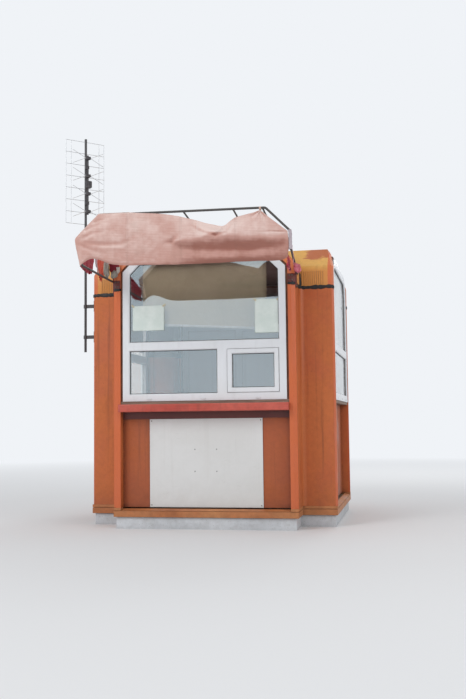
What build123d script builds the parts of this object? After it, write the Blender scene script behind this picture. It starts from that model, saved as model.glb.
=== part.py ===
from build123d import *
import os
from math import atan2, cos, degrees, radians, sin, tan

os.makedirs("parts", exist_ok=True)

# A moulded street kiosk: two tunnels with chamfered shoulders cross each other,
# and each of the four open ends, the portals, is closed by its own infill.
# Millimetres, Z up, origin on the ground under the middle of the kiosk.
# The front portal, with the sales window and the awning, faces minus Y.

# Body in plan and in height
module = 2400
arm_width = 1750
wall = 50
rim = 70
jamb_depth = 140
outer_bevel = 36
bevel_depth = 16
inner_corner_radius = 45
plinth_height = 110
plinth_inset = 22
tray_height = 84
tray_line_height = 54
tray_line = 5
tray_line_depth = 6
sill_slope_drop = 26
deck_thickness = 22
deck_depth = 22
tray_wall = 60
pillar_height = 2053
seal_height = 24
seal_inset = 7
shoulder_rise = 193
slope_rise = 189
portal_lean = 50
rib_pitch = 20
rib_width = 10
rib_relief = 4
rib_seat = 1
rib_flank = 64
rib_corner_gap = 30
rib_portal_gap = 90
rib_bottom_gap = 14
rib_top_gap = 50

tray_bottom = plinth_height
tray_top = tray_bottom + tray_height
pillar_top = tray_top + pillar_height
roof_bottom = pillar_top + seal_height
shoulder = roof_bottom + shoulder_rise
roof_top = shoulder + slope_rise
reach = module / 2
half_arm = arm_width / 2
half_opening = half_arm - rim

# Infill of the portals
frame_gap = 21
frame_face = 68
frame_depth = 70
frame_set_back = 5
bead = 8
frame_bottom = 1189
lower_rail = 69
packer_set_back = 12
sill_strip_height = 28
sill_strip_set_back = 6
ledge_height = 72
ledge_projection = 80
ledge_edge_radius = 9
rail_height = 65
rail_thickness = 10
parapet_set_back = 88
parapet_thickness = 50
board_width = 1083
board_thickness = 8
board_gap = 3
transom_bottom = 1665
transom_height = 84
mullion_left = 131
mullion_width = 97
glass_thickness = 20
glass_set_back = 20
sash_gap = 3
sash_face = 44
sash_depth = 56
sash_proud = 6
stop_width = 14
blind_width = 1200
blind_left_bottom = 1928
blind_right_bottom = 1853
side_blind_bottom = 1800
blind_thickness = 2
roller_diameter = 36
roller_drop = 40
roller_gap = 4
roller_overhang = 6
roller_bracket = 5
soft_gap = 0.3

# Rear door
door_frame_face = 60
door_threshold = 30
leaf_set_back = 2
door_width = 800
door_height = 1880
door_gap = 4
stile = 105
door_rail_height = 900
door_thickness = 60
door_recess = 14
panel_thickness = 40
panel_set_back = 15
handle_height = 1020
handle_plate = (160, 32, 8)
handle_lift = 40
spindle_diameter = 18
spindle_length = 42
lever_length = 100
lever_height = 18
lever_thickness = 14

# Awning
hoop_reach = 855
hoop_skew = 2.77
hoop_offset = 20
hoop_spread = 50
hoop_half = half_arm + hoop_spread
hoop_left_leg = 226
hoop_left_lean = 47
hoop_right_leg = 130
hoop_chamfer = 205
hoop_top = 2780
hoop_tube = 20
hoop_bend = 35
strut_tube = 16
strut_foot = (46, 70, 6)
strut_places = (-676, -320, 37, 465, 716)
arm_end_height = 2345
bracket_drop = 76
bracket_height = 78
bracket_plate = 6
bracket_leg = 84
lug_height = 170
lug_width = 60
lug_thickness = 10
pin_gap = 0.6
canopy_thickness = 6
canopy_belly = 24
canopy_overhang = 20
flap_thickness = 4

# Aerial
mast_diameter = 25
mast_stand_off = 96
mast_bottom = 1700
mast_top = 3880
clamp_heights = (1850, 2160)
clamp_height = 34
clamp_wall = 7
clamp_arm = 18
clamp_plate = 5
clamp_plate_height = 110
clamp_plate_margin = 2
aerial_turn = 44
bay_count = 4
bay_pitch = 183
bay_drop = 760
boom_size = 15
boom_offset = 48
boom_end = 30
boom_clamp = (34, 30)
boom_clamp_place = 90
block_size = (46, 30, 26)
block_corner = 5
balun_size = (58, 70, 40)
balun_corner = 8
whisker_reach = 165
whisker_rise = 67
rod_diameter = 4.4
reflector_half = 210
reflector_drop = 120
reflector_rods = 8
reflector_pitch = 122
reflector_upright_places = (3, 58)


def tunnel_points(inset, bottom):
    """Outline of one tunnel seen from its end, moved inwards by a wall."""
    side = half_arm - inset
    knee = shoulder - inset * tan(radians(22.5))
    top = roof_top - inset
    flat = side - (top - knee)
    return [(-side, bottom), (side, bottom), (side, knee), (flat, top), (-flat, top), (-side, knee)]


def portal_plane(turn, set_back):
    """Plane of a portal: x runs to the right and y up for someone facing it."""
    angle = radians(turn)
    outward = (sin(angle), -cos(angle), 0)
    distance = reach - set_back
    origin = (outward[0] * distance, outward[1] * distance, 0)
    return Plane(origin=origin, x_dir=(cos(angle), sin(angle), 0), z_dir=outward)


def pillar_points(inset=0.0):
    """Plan of the pillar between the front and the right portal."""
    far = reach - inset
    side = half_arm - inset
    jamb = half_opening + inset
    back = reach - jamb_depth + inset
    inner = half_arm - wall + inset
    bevel = outer_bevel
    cut = bevel_depth
    return [
        (jamb, -far), (side - bevel, -far), (side, -far + cut), (side, -side),
        (far - cut, -side), (far, -side + bevel), (far, -jamb), (back, -jamb),
        (back, -inner), (inner, -inner), (inner, -back), (jamb, -back),
    ]


def finish(builder, name):
    """Name a finished piece and write it."""
    builder.part.label = name
    export_step(builder.part, f"parts/{name}.step")


# Plinth, floor tray and deck
with BuildPart() as base_plinth:
    with BuildSketch(Plane.XY) as plinth_plan:
        Rectangle(module - 2 * plinth_inset, arm_width - 2 * plinth_inset)
        Rectangle(arm_width - 2 * plinth_inset, module - 2 * plinth_inset)
    extrude(amount=plinth_height)
    fillet(base_plinth.faces().sort_by(Axis.Z)[-1].edges(), radius=8)
finish(base_plinth, "base_plinth")

with BuildPart() as floor_tray:
    with BuildSketch(Plane.XY.offset(tray_bottom)):
        Rectangle(module, arm_width)
        Rectangle(arm_width, module)
    extrude(amount=tray_line_height)
    with BuildSketch(Plane.XY.offset(tray_bottom + tray_line_height)):
        Rectangle(module - 2 * tray_line_depth, arm_width - 2 * tray_line_depth)
        Rectangle(arm_width - 2 * tray_line_depth, module - 2 * tray_line_depth)
    extrude(amount=tray_line)
    with BuildSketch(Plane.XY.offset(tray_bottom + tray_line_height + tray_line)):
        Rectangle(module, arm_width)
        Rectangle(arm_width, module)
    extrude(amount=tray_height - tray_line_height - tray_line)
    with BuildSketch(Plane.XY.offset(tray_top - deck_depth - deck_thickness)):
        Rectangle(module - 2 * tray_wall, arm_width - 2 * tray_wall)
        Rectangle(arm_width - 2 * tray_wall, module - 2 * tray_wall)
    extrude(amount=deck_depth + deck_thickness, mode=Mode.SUBTRACT)
    for turn in (0, 90, 180, 270):
        side_view = Plane(origin=(0, 0, 0), x_dir=(0, 1, 0), z_dir=(1, 0, 0)).rotated((0, 0, turn))
        with BuildSketch(side_view):
            Polygon(
                (-reach, tray_top), (-reach, tray_top - sill_slope_drop),
                (-reach + parapet_set_back, tray_top), align=None,
            )
        extrude(amount=half_opening, both=True, mode=Mode.SUBTRACT)
finish(floor_tray, "floor_tray")

with BuildPart() as floor_deck:
    with BuildSketch(Plane.XY.offset(tray_top - deck_depth - deck_thickness)):
        Rectangle(module - 2 * tray_wall, arm_width - 2 * tray_wall)
        Rectangle(arm_width - 2 * tray_wall, module - 2 * tray_wall)
    extrude(amount=deck_thickness)
finish(floor_deck, "floor_deck")


def distance_to_inner_corner(edge):
    """How far an upright edge stands from the corner where two arms meet."""
    middle = edge.center()
    return abs(abs(middle.X) - half_arm) + abs(abs(middle.Y) - half_arm)


# Corner pillars: an angle of wall between two portals, with a jamb at each end
pillar_names = ("pillar_front_right", "pillar_rear_right", "pillar_rear_left", "pillar_front_left")
for corner, name in enumerate(pillar_names):
    with BuildPart() as pillar:
        with BuildSketch(Plane.XY.offset(tray_top).rotated((0, 0, 90 * corner))) as pillar_plan:
            Polygon(*pillar_points(), align=None)
        extrude(amount=pillar_height)
        upright = pillar.edges().filter_by(Axis.Z)
        fillet(upright.sort_by(distance_to_inner_corner)[0], radius=inner_corner_radius)
    finish(pillar, name)

# Seal between the pillars and the roof
with BuildPart() as roof_seal:
    for corner in range(4):
        with BuildSketch(Plane.XY.offset(pillar_top).rotated((0, 0, 90 * corner))):
            Polygon(*pillar_points(seal_inset), align=None)
        extrude(amount=seal_height)
finish(roof_seal, "roof_seal")


def arch_face(builder, turn, side):
    """Outer face of a portal arch: its left leg, its right leg or the leaning part between them."""
    plane = portal_plane(turn, 0)
    tilt_limit = degrees(atan2(portal_lean, slope_rise)) + 1
    outer = builder.faces().filter_by(
        lambda face: face.normal_at().get_angle(plane.z_dir) < tilt_limit
        and plane.to_local_coords(face.center()).Z > -jamb_depth
    )
    return outer.sort_by(lambda face: abs(plane.to_local_coords(face.center()).X - side * half_arm))[0]


def on_outline(edge, turn):
    """Whether an edge of a portal lies on the outer outline of its tunnel."""
    middle = portal_plane(turn, 0).to_local_coords(edge.center())
    across = abs(middle.X)
    height = middle.Y
    return min(half_arm - across, roof_top - height, half_arm + shoulder - across - height) < 1


# Roof shell: both tunnels, hollowed, with a leaning portal arch at each end, whose outer
# edge carries on the bevel of the pillars, and a ribbed fascia along each arm
rib_first = half_arm + rib_corner_gap
rib_count = int((reach - rib_portal_gap - rib_first) / rib_pitch) + 1
rib_places = [rib_first + rib_pitch * index for index in range(rib_count)]
with BuildPart() as roof_shell:
    for turn in (0, 90):
        with BuildSketch(Plane.XZ.rotated((0, 0, turn))):
            Polygon(*tunnel_points(0, roof_bottom), align=None)
        extrude(amount=reach, both=True)
    for turn in (0, 90):
        with BuildSketch(Plane.XZ.rotated((0, 0, turn))):
            Polygon(*tunnel_points(wall, roof_bottom), align=None)
        extrude(amount=reach - jamb_depth, both=True, mode=Mode.SUBTRACT)
        with BuildSketch(Plane.XZ.rotated((0, 0, turn))):
            Polygon(*tunnel_points(rim, roof_bottom), align=None)
        extrude(amount=reach, both=True, mode=Mode.SUBTRACT)
    for turn in (0, 90, 180, 270):
        side_view = Plane(origin=(0, 0, 0), x_dir=(0, 1, 0), z_dir=(1, 0, 0)).rotated((0, 0, turn))
        with BuildSketch(side_view):
            Polygon((-reach, shoulder), (-reach + portal_lean, roof_top), (-reach, roof_top), align=None)
        extrude(amount=half_arm, both=True, mode=Mode.SUBTRACT)
    for turn in (0, 90, 180, 270):
        for side in (-1, 1, 0):
            face = arch_face(roof_shell, turn, side)
            outer_edges = face.edges().filter_by(lambda edge: on_outline(edge, turn))
            chamfer(outer_edges, length=outer_bevel, length2=bevel_depth, reference=face)
    for turn in (0, 90, 180, 270):
        with BuildSketch(Plane.XY.offset(roof_bottom + rib_bottom_gap).rotated((0, 0, turn))):
            for side in (-1, 1):
                with Locations(*[(side * (half_arm - rib_seat), -place) for place in rib_places]):
                    Trapezoid(
                        rib_width, rib_relief + rib_seat, rib_flank,
                        rotation=-90 * side, align=(Align.CENTER, Align.MIN),
                    )
        extrude(amount=shoulder_rise - rib_bottom_gap - rib_top_gap)
finish(roof_shell, "roof_shell")


def pane(left, right, bottom, top):
    """One rectangular pane opening given by its edges."""
    with Locations(((left + right) / 2, (bottom + top) / 2)):
        Rectangle(right - left, top - bottom, mode=Mode.SUBTRACT)


half_frame = half_opening - frame_gap
frame_inset = rim + frame_gap
sight = half_frame - frame_face
sight_bottom = frame_bottom + lower_rail
transom_top = transom_bottom + transom_height
mullion_right = mullion_left + mullion_width


def upper_sight(inset, bottom):
    """Sight opening of the upper pane with its cut upper corners."""
    Polygon(*tunnel_points(inset, bottom), align=None, mode=Mode.SUBTRACT)


def bead_edges(builder, turn):
    """Edges of the pane openings on the outer face of a frame or sash."""
    outward = portal_plane(turn, 0).z_dir
    axis = Axis((0, 0, 0), outward)
    front = builder.faces().filter_by(axis).sort_by(axis)[-1]
    edges = ShapeList()
    for wire in front.inner_wires():
        edges.extend(wire.edges())
    return edges


def fill_panes(turn, outlines):
    """Closed panes that stand in their sight openings."""
    with BuildSketch(portal_plane(turn, frame_set_back + glass_set_back)) as panes:
        for outline in outlines:
            Polygon(*outline, align=None)
    extrude(panes.sketch, amount=-glass_thickness)


def box_outline(left, right, bottom, top):
    """Corners of an upright rectangle given by its edges."""
    return [(left, bottom), (right, bottom), (right, top), (left, top)]


def rebate(turn, set_back, depth, edges):
    """Opening for a sash or leaf, with a stop behind that it closes against."""
    left, right, bottom, top = edges
    with BuildSketch(portal_plane(turn, set_back)) as recess:
        Polygon(*box_outline(left, right, bottom, top), align=None)
    extrude(recess.sketch, amount=-depth, mode=Mode.SUBTRACT)
    with BuildSketch(portal_plane(turn, set_back)) as through:
        stop = box_outline(left + stop_width, right - stop_width, bottom + stop_width, top - stop_width)
        Polygon(*stop, align=None)
    extrude(through.sketch, amount=-frame_depth, mode=Mode.SUBTRACT)


upper_pane = tunnel_points(frame_inset + frame_face, transom_top)

# Sales window: a white plastic frame with a transom, a fixed pane and a hatch
with BuildPart() as front_window_frame:
    with BuildSketch(portal_plane(0, frame_set_back)):
        Polygon(*tunnel_points(frame_inset, frame_bottom), align=None)
        upper_sight(frame_inset + frame_face, transom_top)
        pane(-sight, mullion_left, sight_bottom, transom_bottom)
    extrude(amount=-frame_depth)
    chamfer(bead_edges(front_window_frame, 0), length=bead)
    rebate(0, frame_set_back, sash_depth - sash_proud, (mullion_right, sight, sight_bottom, transom_bottom))
finish(front_window_frame, "front_window_frame")

with BuildPart() as front_upper_glass:
    fill_panes(0, [upper_pane])
finish(front_upper_glass, "front_upper_glass")

with BuildPart() as front_lower_glass:
    fill_panes(0, [box_outline(-sight, mullion_left, sight_bottom, transom_bottom)])
finish(front_lower_glass, "front_lower_glass")

# Hatch sash, which stands a little proud of the frame it closes
sash_left = mullion_right + sash_gap
sash_right = sight - sash_gap
sash_bottom = sight_bottom + sash_gap
sash_top = transom_bottom - sash_gap
hatch_pane = box_outline(
    sash_left + sash_face, sash_right - sash_face, sash_bottom + sash_face, sash_top - sash_face
)
with BuildPart() as hatch_sash:
    with BuildSketch(portal_plane(0, frame_set_back - sash_proud)):
        Polygon(*box_outline(sash_left, sash_right, sash_bottom, sash_top), align=None)
        Polygon(*hatch_pane, align=None, mode=Mode.SUBTRACT)
    extrude(amount=-sash_depth)
    chamfer(bead_edges(hatch_sash, 0), length=bead)
finish(hatch_sash, "hatch_sash")

with BuildPart() as hatch_glass:
    fill_panes(0, [hatch_pane])
finish(hatch_glass, "hatch_glass")

# Side windows: the same frame with a transom over one fixed pane
for side_name, turn in (("right", 90), ("left", 270)):
    with BuildPart() as side_frame:
        with BuildSketch(portal_plane(turn, frame_set_back)):
            Polygon(*tunnel_points(frame_inset, frame_bottom), align=None)
            upper_sight(frame_inset + frame_face, transom_top)
            pane(-sight, sight, sight_bottom, transom_bottom)
        extrude(amount=-frame_depth)
        chamfer(bead_edges(side_frame, turn), length=bead)
    finish(side_frame, f"{side_name}_window_frame")
    with BuildPart() as side_glass:
        fill_panes(turn, [upper_pane, box_outline(-sight, sight, sight_bottom, transom_bottom)])
    finish(side_glass, f"{side_name}_window_glass")

# Packers between the frames and the portals, and sill strips under the frames
with BuildPart() as window_packers:
    for turn in (0, 90, 270):
        with BuildSketch(portal_plane(turn, frame_set_back + packer_set_back)):
            Polygon(*tunnel_points(rim, frame_bottom), align=None)
            Polygon(*tunnel_points(frame_inset, frame_bottom), align=None, mode=Mode.SUBTRACT)
        extrude(amount=-(frame_depth - 2 * packer_set_back))
finish(window_packers, "window_packers")

strip_bottom = frame_bottom - sill_strip_height
with BuildPart() as sill_strips:
    for turn in (0, 90, 270):
        with BuildSketch(portal_plane(turn, frame_set_back + sill_strip_set_back)):
            with Locations((0, strip_bottom + sill_strip_height / 2)):
                Rectangle(2 * half_opening, sill_strip_height)
        extrude(amount=-frame_depth)
finish(sill_strips, "sill_strips")

# Counter ledge and the rail under it
ledge_bottom = strip_bottom - ledge_height
with BuildPart() as counter_ledge:
    with BuildSketch(portal_plane(0, -ledge_projection)):
        with Locations((0, ledge_bottom + ledge_height / 2)):
            Rectangle(2 * half_opening, ledge_height)
    extrude(amount=-(ledge_projection + parapet_set_back + parapet_thickness))
    front_edges = counter_ledge.faces().sort_by(Axis.Y)[0].edges()
    fillet(front_edges, radius=ledge_edge_radius)
finish(counter_ledge, "counter_ledge")

rail_bottom = ledge_bottom - rail_height
with BuildPart() as counter_rail:
    with BuildSketch(portal_plane(0, parapet_set_back - rail_thickness)):
        with Locations((0, rail_bottom + rail_height / 2)):
            Rectangle(2 * half_opening, rail_height)
    extrude(amount=-rail_thickness)
finish(counter_rail, "counter_rail")

# Parapets: flat panels between the jambs, below the windows
parapet_tops = (("front", 0, ledge_bottom), ("right", 90, strip_bottom), ("left", 270, strip_bottom))
for side_name, turn, top in parapet_tops:
    with BuildPart() as parapet:
        with BuildSketch(portal_plane(turn, parapet_set_back)):
            with Locations((0, (tray_top + top) / 2)):
                Rectangle(2 * half_opening, top - tray_top)
        extrude(amount=-parapet_thickness)
    finish(parapet, f"{side_name}_parapet")

# White board screwed to the front parapet
board_height = rail_bottom - tray_top - 2 * board_gap
with BuildPart() as front_board:
    with BuildSketch(portal_plane(0, parapet_set_back - board_thickness)):
        with Locations((0, tray_top + board_gap + board_height / 2)):
            Rectangle(board_width, board_height)
    extrude(amount=-board_thickness)
finish(front_board, "front_board")

# Roller blinds behind the upper panes: the front one is pulled down a little crooked
blind_bottoms = (
    (0, blind_left_bottom, blind_right_bottom),
    (90, side_blind_bottom, side_blind_bottom),
    (270, side_blind_bottom, side_blind_bottom),
)
roller_set_back = frame_set_back + frame_depth + roller_diameter / 2 + roller_gap
roller_height = roof_top - frame_inset - roller_drop
roller_half = blind_width / 2 + roller_overhang
with BuildPart() as blind_roller:
    for turn, left_bottom, right_bottom in blind_bottoms:
        portal = portal_plane(turn, roller_set_back)
        axle = Plane(
            origin=portal.from_local_coords((0, roller_height, 0)), x_dir=-portal.z_dir, z_dir=portal.x_dir
        )
        with BuildSketch(axle):
            Circle(roller_diameter / 2)
        extrude(amount=roller_half, both=True)
        for side in (-1, 1):
            with BuildSketch(axle.offset(side * roller_half)):
                with Locations((-roller_gap / 2, 0)):
                    Rectangle(roller_diameter + roller_gap, roller_diameter + roller_overhang)
            extrude(amount=side * roller_bracket)
finish(blind_roller, "blind_roller")

blind_set_back = roller_set_back - roller_diameter / 2 - soft_gap - blind_thickness
with BuildPart() as window_blind:
    for turn, left_bottom, right_bottom in blind_bottoms:
        with BuildSketch(portal_plane(turn, blind_set_back)):
            Polygon(
                (-blind_width / 2, left_bottom), (blind_width / 2, right_bottom),
                (blind_width / 2, roller_height), (-blind_width / 2, roller_height), align=None,
            )
        extrude(amount=-blind_thickness)
finish(window_blind, "window_blind")

# Rear portal: a plastic door frame with a panelled door, a closed side and a closed top
door_bottom = tray_top
door_left = -(half_frame - door_frame_face)
door_right = door_left + door_width
door_post_right = door_right + door_frame_face
door_head = door_bottom + door_height
top_panel_bottom = door_head + door_frame_face
panel_bottom = door_bottom + door_threshold
top_panel = tunnel_points(frame_inset + door_frame_face, top_panel_bottom)
side_panel = box_outline(door_post_right, -door_left, panel_bottom, door_head)
door_opening = (door_left, door_right, panel_bottom, door_head)
with BuildPart() as rear_door_frame:
    with BuildSketch(portal_plane(180, frame_set_back)):
        Polygon(*tunnel_points(frame_inset, door_bottom), align=None)
        Polygon(*top_panel, align=None, mode=Mode.SUBTRACT)
        Polygon(*side_panel, align=None, mode=Mode.SUBTRACT)
    extrude(amount=-frame_depth)
    chamfer(bead_edges(rear_door_frame, 180), length=bead)
    rebate(180, frame_set_back, leaf_set_back + door_thickness, door_opening)
finish(rear_door_frame, "rear_door_frame")

for name, outline in (("rear_upper_panel", top_panel), ("rear_side_panel", side_panel)):
    with BuildPart() as rear_panel:
        with BuildSketch(portal_plane(180, frame_set_back + panel_set_back)):
            Polygon(*outline, align=None)
        extrude(amount=-panel_thickness)
    finish(rear_panel, name)

leaf_face = portal_plane(180, frame_set_back + leaf_set_back)
leaf_left = door_left + door_gap
leaf_right = door_right - door_gap
leaf_bottom = panel_bottom + door_gap
leaf_top = door_head - door_gap
lock_rail_top = leaf_bottom + door_rail_height
with BuildPart() as rear_door_leaf:
    with BuildSketch(leaf_face):
        Polygon(*box_outline(leaf_left, leaf_right, leaf_bottom, leaf_top), align=None)
    extrude(amount=-door_thickness)
    with BuildSketch(leaf_face):
        for bottom, top in ((leaf_bottom + stile, lock_rail_top - stile), (lock_rail_top, leaf_top - stile)):
            Polygon(*box_outline(leaf_left + stile, leaf_right - stile, bottom, top), align=None)
    extrude(amount=-door_recess, mode=Mode.SUBTRACT)
    chamfer(bead_edges(rear_door_leaf, 180), length=bead)
finish(rear_door_leaf, "rear_door_leaf")

with BuildPart() as rear_packer:
    with BuildSketch(portal_plane(180, frame_set_back + packer_set_back)):
        Polygon(*tunnel_points(rim, door_bottom), align=None)
        Polygon(*tunnel_points(frame_inset, door_bottom), align=None, mode=Mode.SUBTRACT)
    extrude(amount=-(frame_depth - 2 * packer_set_back))
finish(rear_packer, "rear_packer")

handle_place = leaf_right - stile / 2
spindle_height = handle_height + handle_lift
with BuildPart() as door_handle:
    with BuildSketch(leaf_face):
        with Locations((handle_place, handle_height)):
            SlotCenterToCenter(handle_plate[0], handle_plate[1], rotation=90)
    extrude(amount=handle_plate[2])
    with BuildSketch(leaf_face.offset(handle_plate[2])):
        with Locations((handle_place, spindle_height)):
            Circle(spindle_diameter / 2)
    extrude(amount=spindle_length)
    with BuildSketch(leaf_face.offset(handle_plate[2] + spindle_length)):
        with Locations((handle_place - lever_length / 2, spindle_height)):
            SlotCenterToCenter(lever_length, lever_height)
    extrude(amount=lever_thickness)
finish(door_handle, "door_handle")

# Awning hoop: one bent tube from bracket to bracket, skewed in plan, with its left leg
# longer and bent inwards
skew = radians(hoop_skew)
hoop_plane = Plane(
    origin=(hoop_offset, -reach - hoop_reach, 0),
    x_dir=(cos(skew), sin(skew), 0),
    z_dir=(sin(skew), -cos(skew), 0),
)
lug_face = half_arm + lug_thickness
arm_end_x = lug_face + hoop_tube / 2 + pin_gap
arm_end_y = -reach + lug_width / 2
leg_top = hoop_top - hoop_chamfer
left_foot = -hoop_half + hoop_left_lean
hoop_outline = [
    (left_foot, leg_top - hoop_left_leg), (-hoop_half, leg_top), (-hoop_half + hoop_chamfer, hoop_top),
    (hoop_half - hoop_chamfer, hoop_top), (hoop_half, leg_top), (hoop_half, leg_top - hoop_right_leg),
]
hoop_points = [hoop_plane.from_local_coords((u, v, 0)) for u, v in hoop_outline]
arm_ends = [Vector(side * arm_end_x, arm_end_y, arm_end_height) for side in (-1, 1)]
route = [arm_ends[0], *hoop_points, arm_ends[1]]
with BuildPart() as awning_hoop:
    with BuildLine() as hoop_line:
        FilletPolyline(*route, radius=hoop_bend)
    with BuildSketch(Plane(origin=route[0], z_dir=route[1] - route[0])):
        Circle(hoop_tube / 2)
    sweep()
finish(awning_hoop, "awning_hoop")

# Struts from the top bar back to feet on the roof
with BuildPart() as awning_struts:
    for place in strut_places:
        bar_point = hoop_plane.from_local_coords((place - hoop_offset, hoop_top, 0))
        foot_y = -reach + portal_lean + strut_foot[1] / 2
        foot_point = Vector(place, foot_y, roof_top + strut_foot[2] + strut_tube / 2)
        along = (foot_point - bar_point).normalized()
        start = bar_point + along * (hoop_tube / 2 + soft_gap + strut_tube / 2 * sin(skew))
        with BuildSketch(Plane(origin=start, z_dir=along)):
            Circle(strut_tube / 2)
        extrude(amount=(foot_point - start).length)
        with BuildSketch(Plane.XY.offset(roof_top)):
            with Locations((place, foot_y)):
                Rectangle(strut_foot[0], strut_foot[1])
        extrude(amount=strut_foot[2] + strut_tube / 3)
finish(awning_struts, "awning_struts")

# Brackets: a strap bent round the outer edge of the post and a lug that the arm is pinned to
post_flat = rim - outer_bevel
bracket_bottom = arm_end_height - bracket_drop
strap_side = {-1: Side.LEFT, 1: Side.RIGHT}
with BuildPart() as awning_brackets:
    for side in (-1, 1):
        with BuildSketch(Plane.XY.offset(bracket_bottom)):
            with BuildLine():
                post_edge = Polyline(
                    (side * half_opening, -reach), (side * (half_arm - outer_bevel), -reach),
                    (side * half_arm, -reach + bevel_depth), (side * half_arm, -reach + bracket_leg),
                )
                offset(post_edge, amount=bracket_plate, side=strap_side[side], kind=Kind.INTERSECTION)
            make_face()
        extrude(amount=bracket_height)
        with BuildSketch(Plane.YZ.offset(side * half_arm)):
            with Locations((arm_end_y + bevel_depth, bracket_bottom + bracket_height / 2)):
                Rectangle(lug_width, lug_height)
        extrude(amount=side * lug_thickness)
finish(awning_brackets, "awning_brackets")

# Canopy: what is left of the cloth, hung on the hoop with its hem to the street. The
# outline gives the distance inwards from the nearer leg of the hoop and the height
outline_by_left_leg = [
    (383, 2335), (308, 2347), (246, 2371), (184, 2394), (134, 2399), (84, 2377), (38, 2342),
    (-15, 2548), (-7, 2592), (190, 2786), (565, 2786), (740, 2765), (914, 2733),
]
outline_by_right_leg = [
    (837, 2706), (673, 2675), (568, 2648), (515, 2681), (450, 2708), (365, 2724), (251, 2755), (193, 2710),
    (121, 2651), (20, 2570), (-7, 2310), (39, 2324), (286, 2327), (681, 2322), (887, 2321),
]
canopy_outline = [(inwards - hoop_half, height) for inwards, height in outline_by_left_leg]
canopy_outline += [(hoop_half - inwards, height) for inwards, height in outline_by_right_leg]
cloth_face = hoop_tube / 2 + soft_gap
cloth_top = hoop_top + hoop_tube / 2
hem_bottom = min(height for place, height in canopy_outline)
belly_height = (hem_bottom + hoop_top) / 2
cloth_back = cloth_face + canopy_thickness
with BuildPart() as canopy_cloth:
    cloth_side = Plane(origin=hoop_plane.origin, x_dir=hoop_plane.z_dir, z_dir=-hoop_plane.x_dir)
    with BuildSketch(cloth_side):
        with BuildLine():
            inner = ThreePointArc(
                (cloth_face, hem_bottom), (cloth_face + canopy_belly, belly_height), (cloth_face, hoop_top)
            )
            outer = ThreePointArc(
                (cloth_back, hem_bottom), (cloth_back + canopy_belly, belly_height), (cloth_back, hoop_top)
            )
            Line(inner @ 0, outer @ 0)
            Polyline(inner @ 1, (cloth_face, cloth_top), (cloth_back, cloth_top), outer @ 1)
        make_face()
    extrude(amount=hoop_half + canopy_overhang, both=True)
    with BuildSketch(hoop_plane):
        Polygon(*canopy_outline, align=None)
    extrude(amount=2 * (cloth_back + canopy_belly), both=True, mode=Mode.INTERSECT)
finish(canopy_cloth, "canopy_cloth")

# Side flaps: the torn ends of the cloth, caught on the two arms of the hoop. The outlines
# give the distance back from the hoop leg and the height above the end of the arm
left_flap_outline = [
    (150, -7), (300, -13), (440, -11), (520, 9), (600, 1), (684, -19), (773, 4), (830, 13),
    (946, 40), (930, 87), (760, 101), (560, 87), (330, 107), (160, 101),
]
right_flap_outline = [
    (28, -15), (40, -68), (180, -89), (330, -77), (522, -61), (700, -27),
    (750, 5), (680, 35), (466, 59), (250, 83), (40, 105),
]
for side, name, outline, leg_foot, arm_end in (
    (-1, "canopy_left_flap", left_flap_outline, left_foot, arm_ends[0]),
    (1, "canopy_right_flap", right_flap_outline, hoop_half, arm_ends[1]),
):
    leg_point = hoop_plane.from_local_coords((leg_foot, arm_end_height, 0))
    along = arm_end - leg_point
    arm_side = Plane(origin=leg_point, x_dir=along, z_dir=along.cross(Vector(0, 0, 1)))
    with BuildPart() as flap:
        with BuildSketch(arm_side.offset(side * cloth_face)):
            Polygon(*outline, align=None)
        extrude(amount=side * flap_thickness)
    finish(flap, name)

# Aerial mast on the front left corner of the left arm, with its two clamps
mast_x = -(reach + mast_stand_off)
mast_y = -(half_opening + post_flat / 2)
with BuildPart() as aerial_mast:
    with BuildSketch(Plane.XY.offset(mast_bottom)):
        with Locations((mast_x, mast_y)):
            Circle(mast_diameter / 2)
    extrude(amount=mast_top - mast_bottom)
finish(aerial_mast, "aerial_mast")

with BuildPart() as mast_clamps:
    for height in clamp_heights:
        with BuildSketch(Plane.YZ.offset(-reach)):
            with Locations((mast_y, height)):
                Rectangle(post_flat - 2 * clamp_plate_margin, clamp_plate_height)
        extrude(amount=-clamp_plate)
        with BuildSketch(Plane.XY.offset(height - clamp_height / 2)):
            with Locations((mast_x, mast_y)):
                Circle(mast_diameter / 2 + clamp_wall)
            with Locations(((mast_x - reach) / 2, mast_y)):
                Rectangle(mast_stand_off, clamp_arm)
            with Locations((mast_x, mast_y)):
                Circle(mast_diameter / 2 + soft_gap, mode=Mode.SUBTRACT)
        extrude(amount=clamp_height)
finish(mast_clamps, "mast_clamps")

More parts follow.
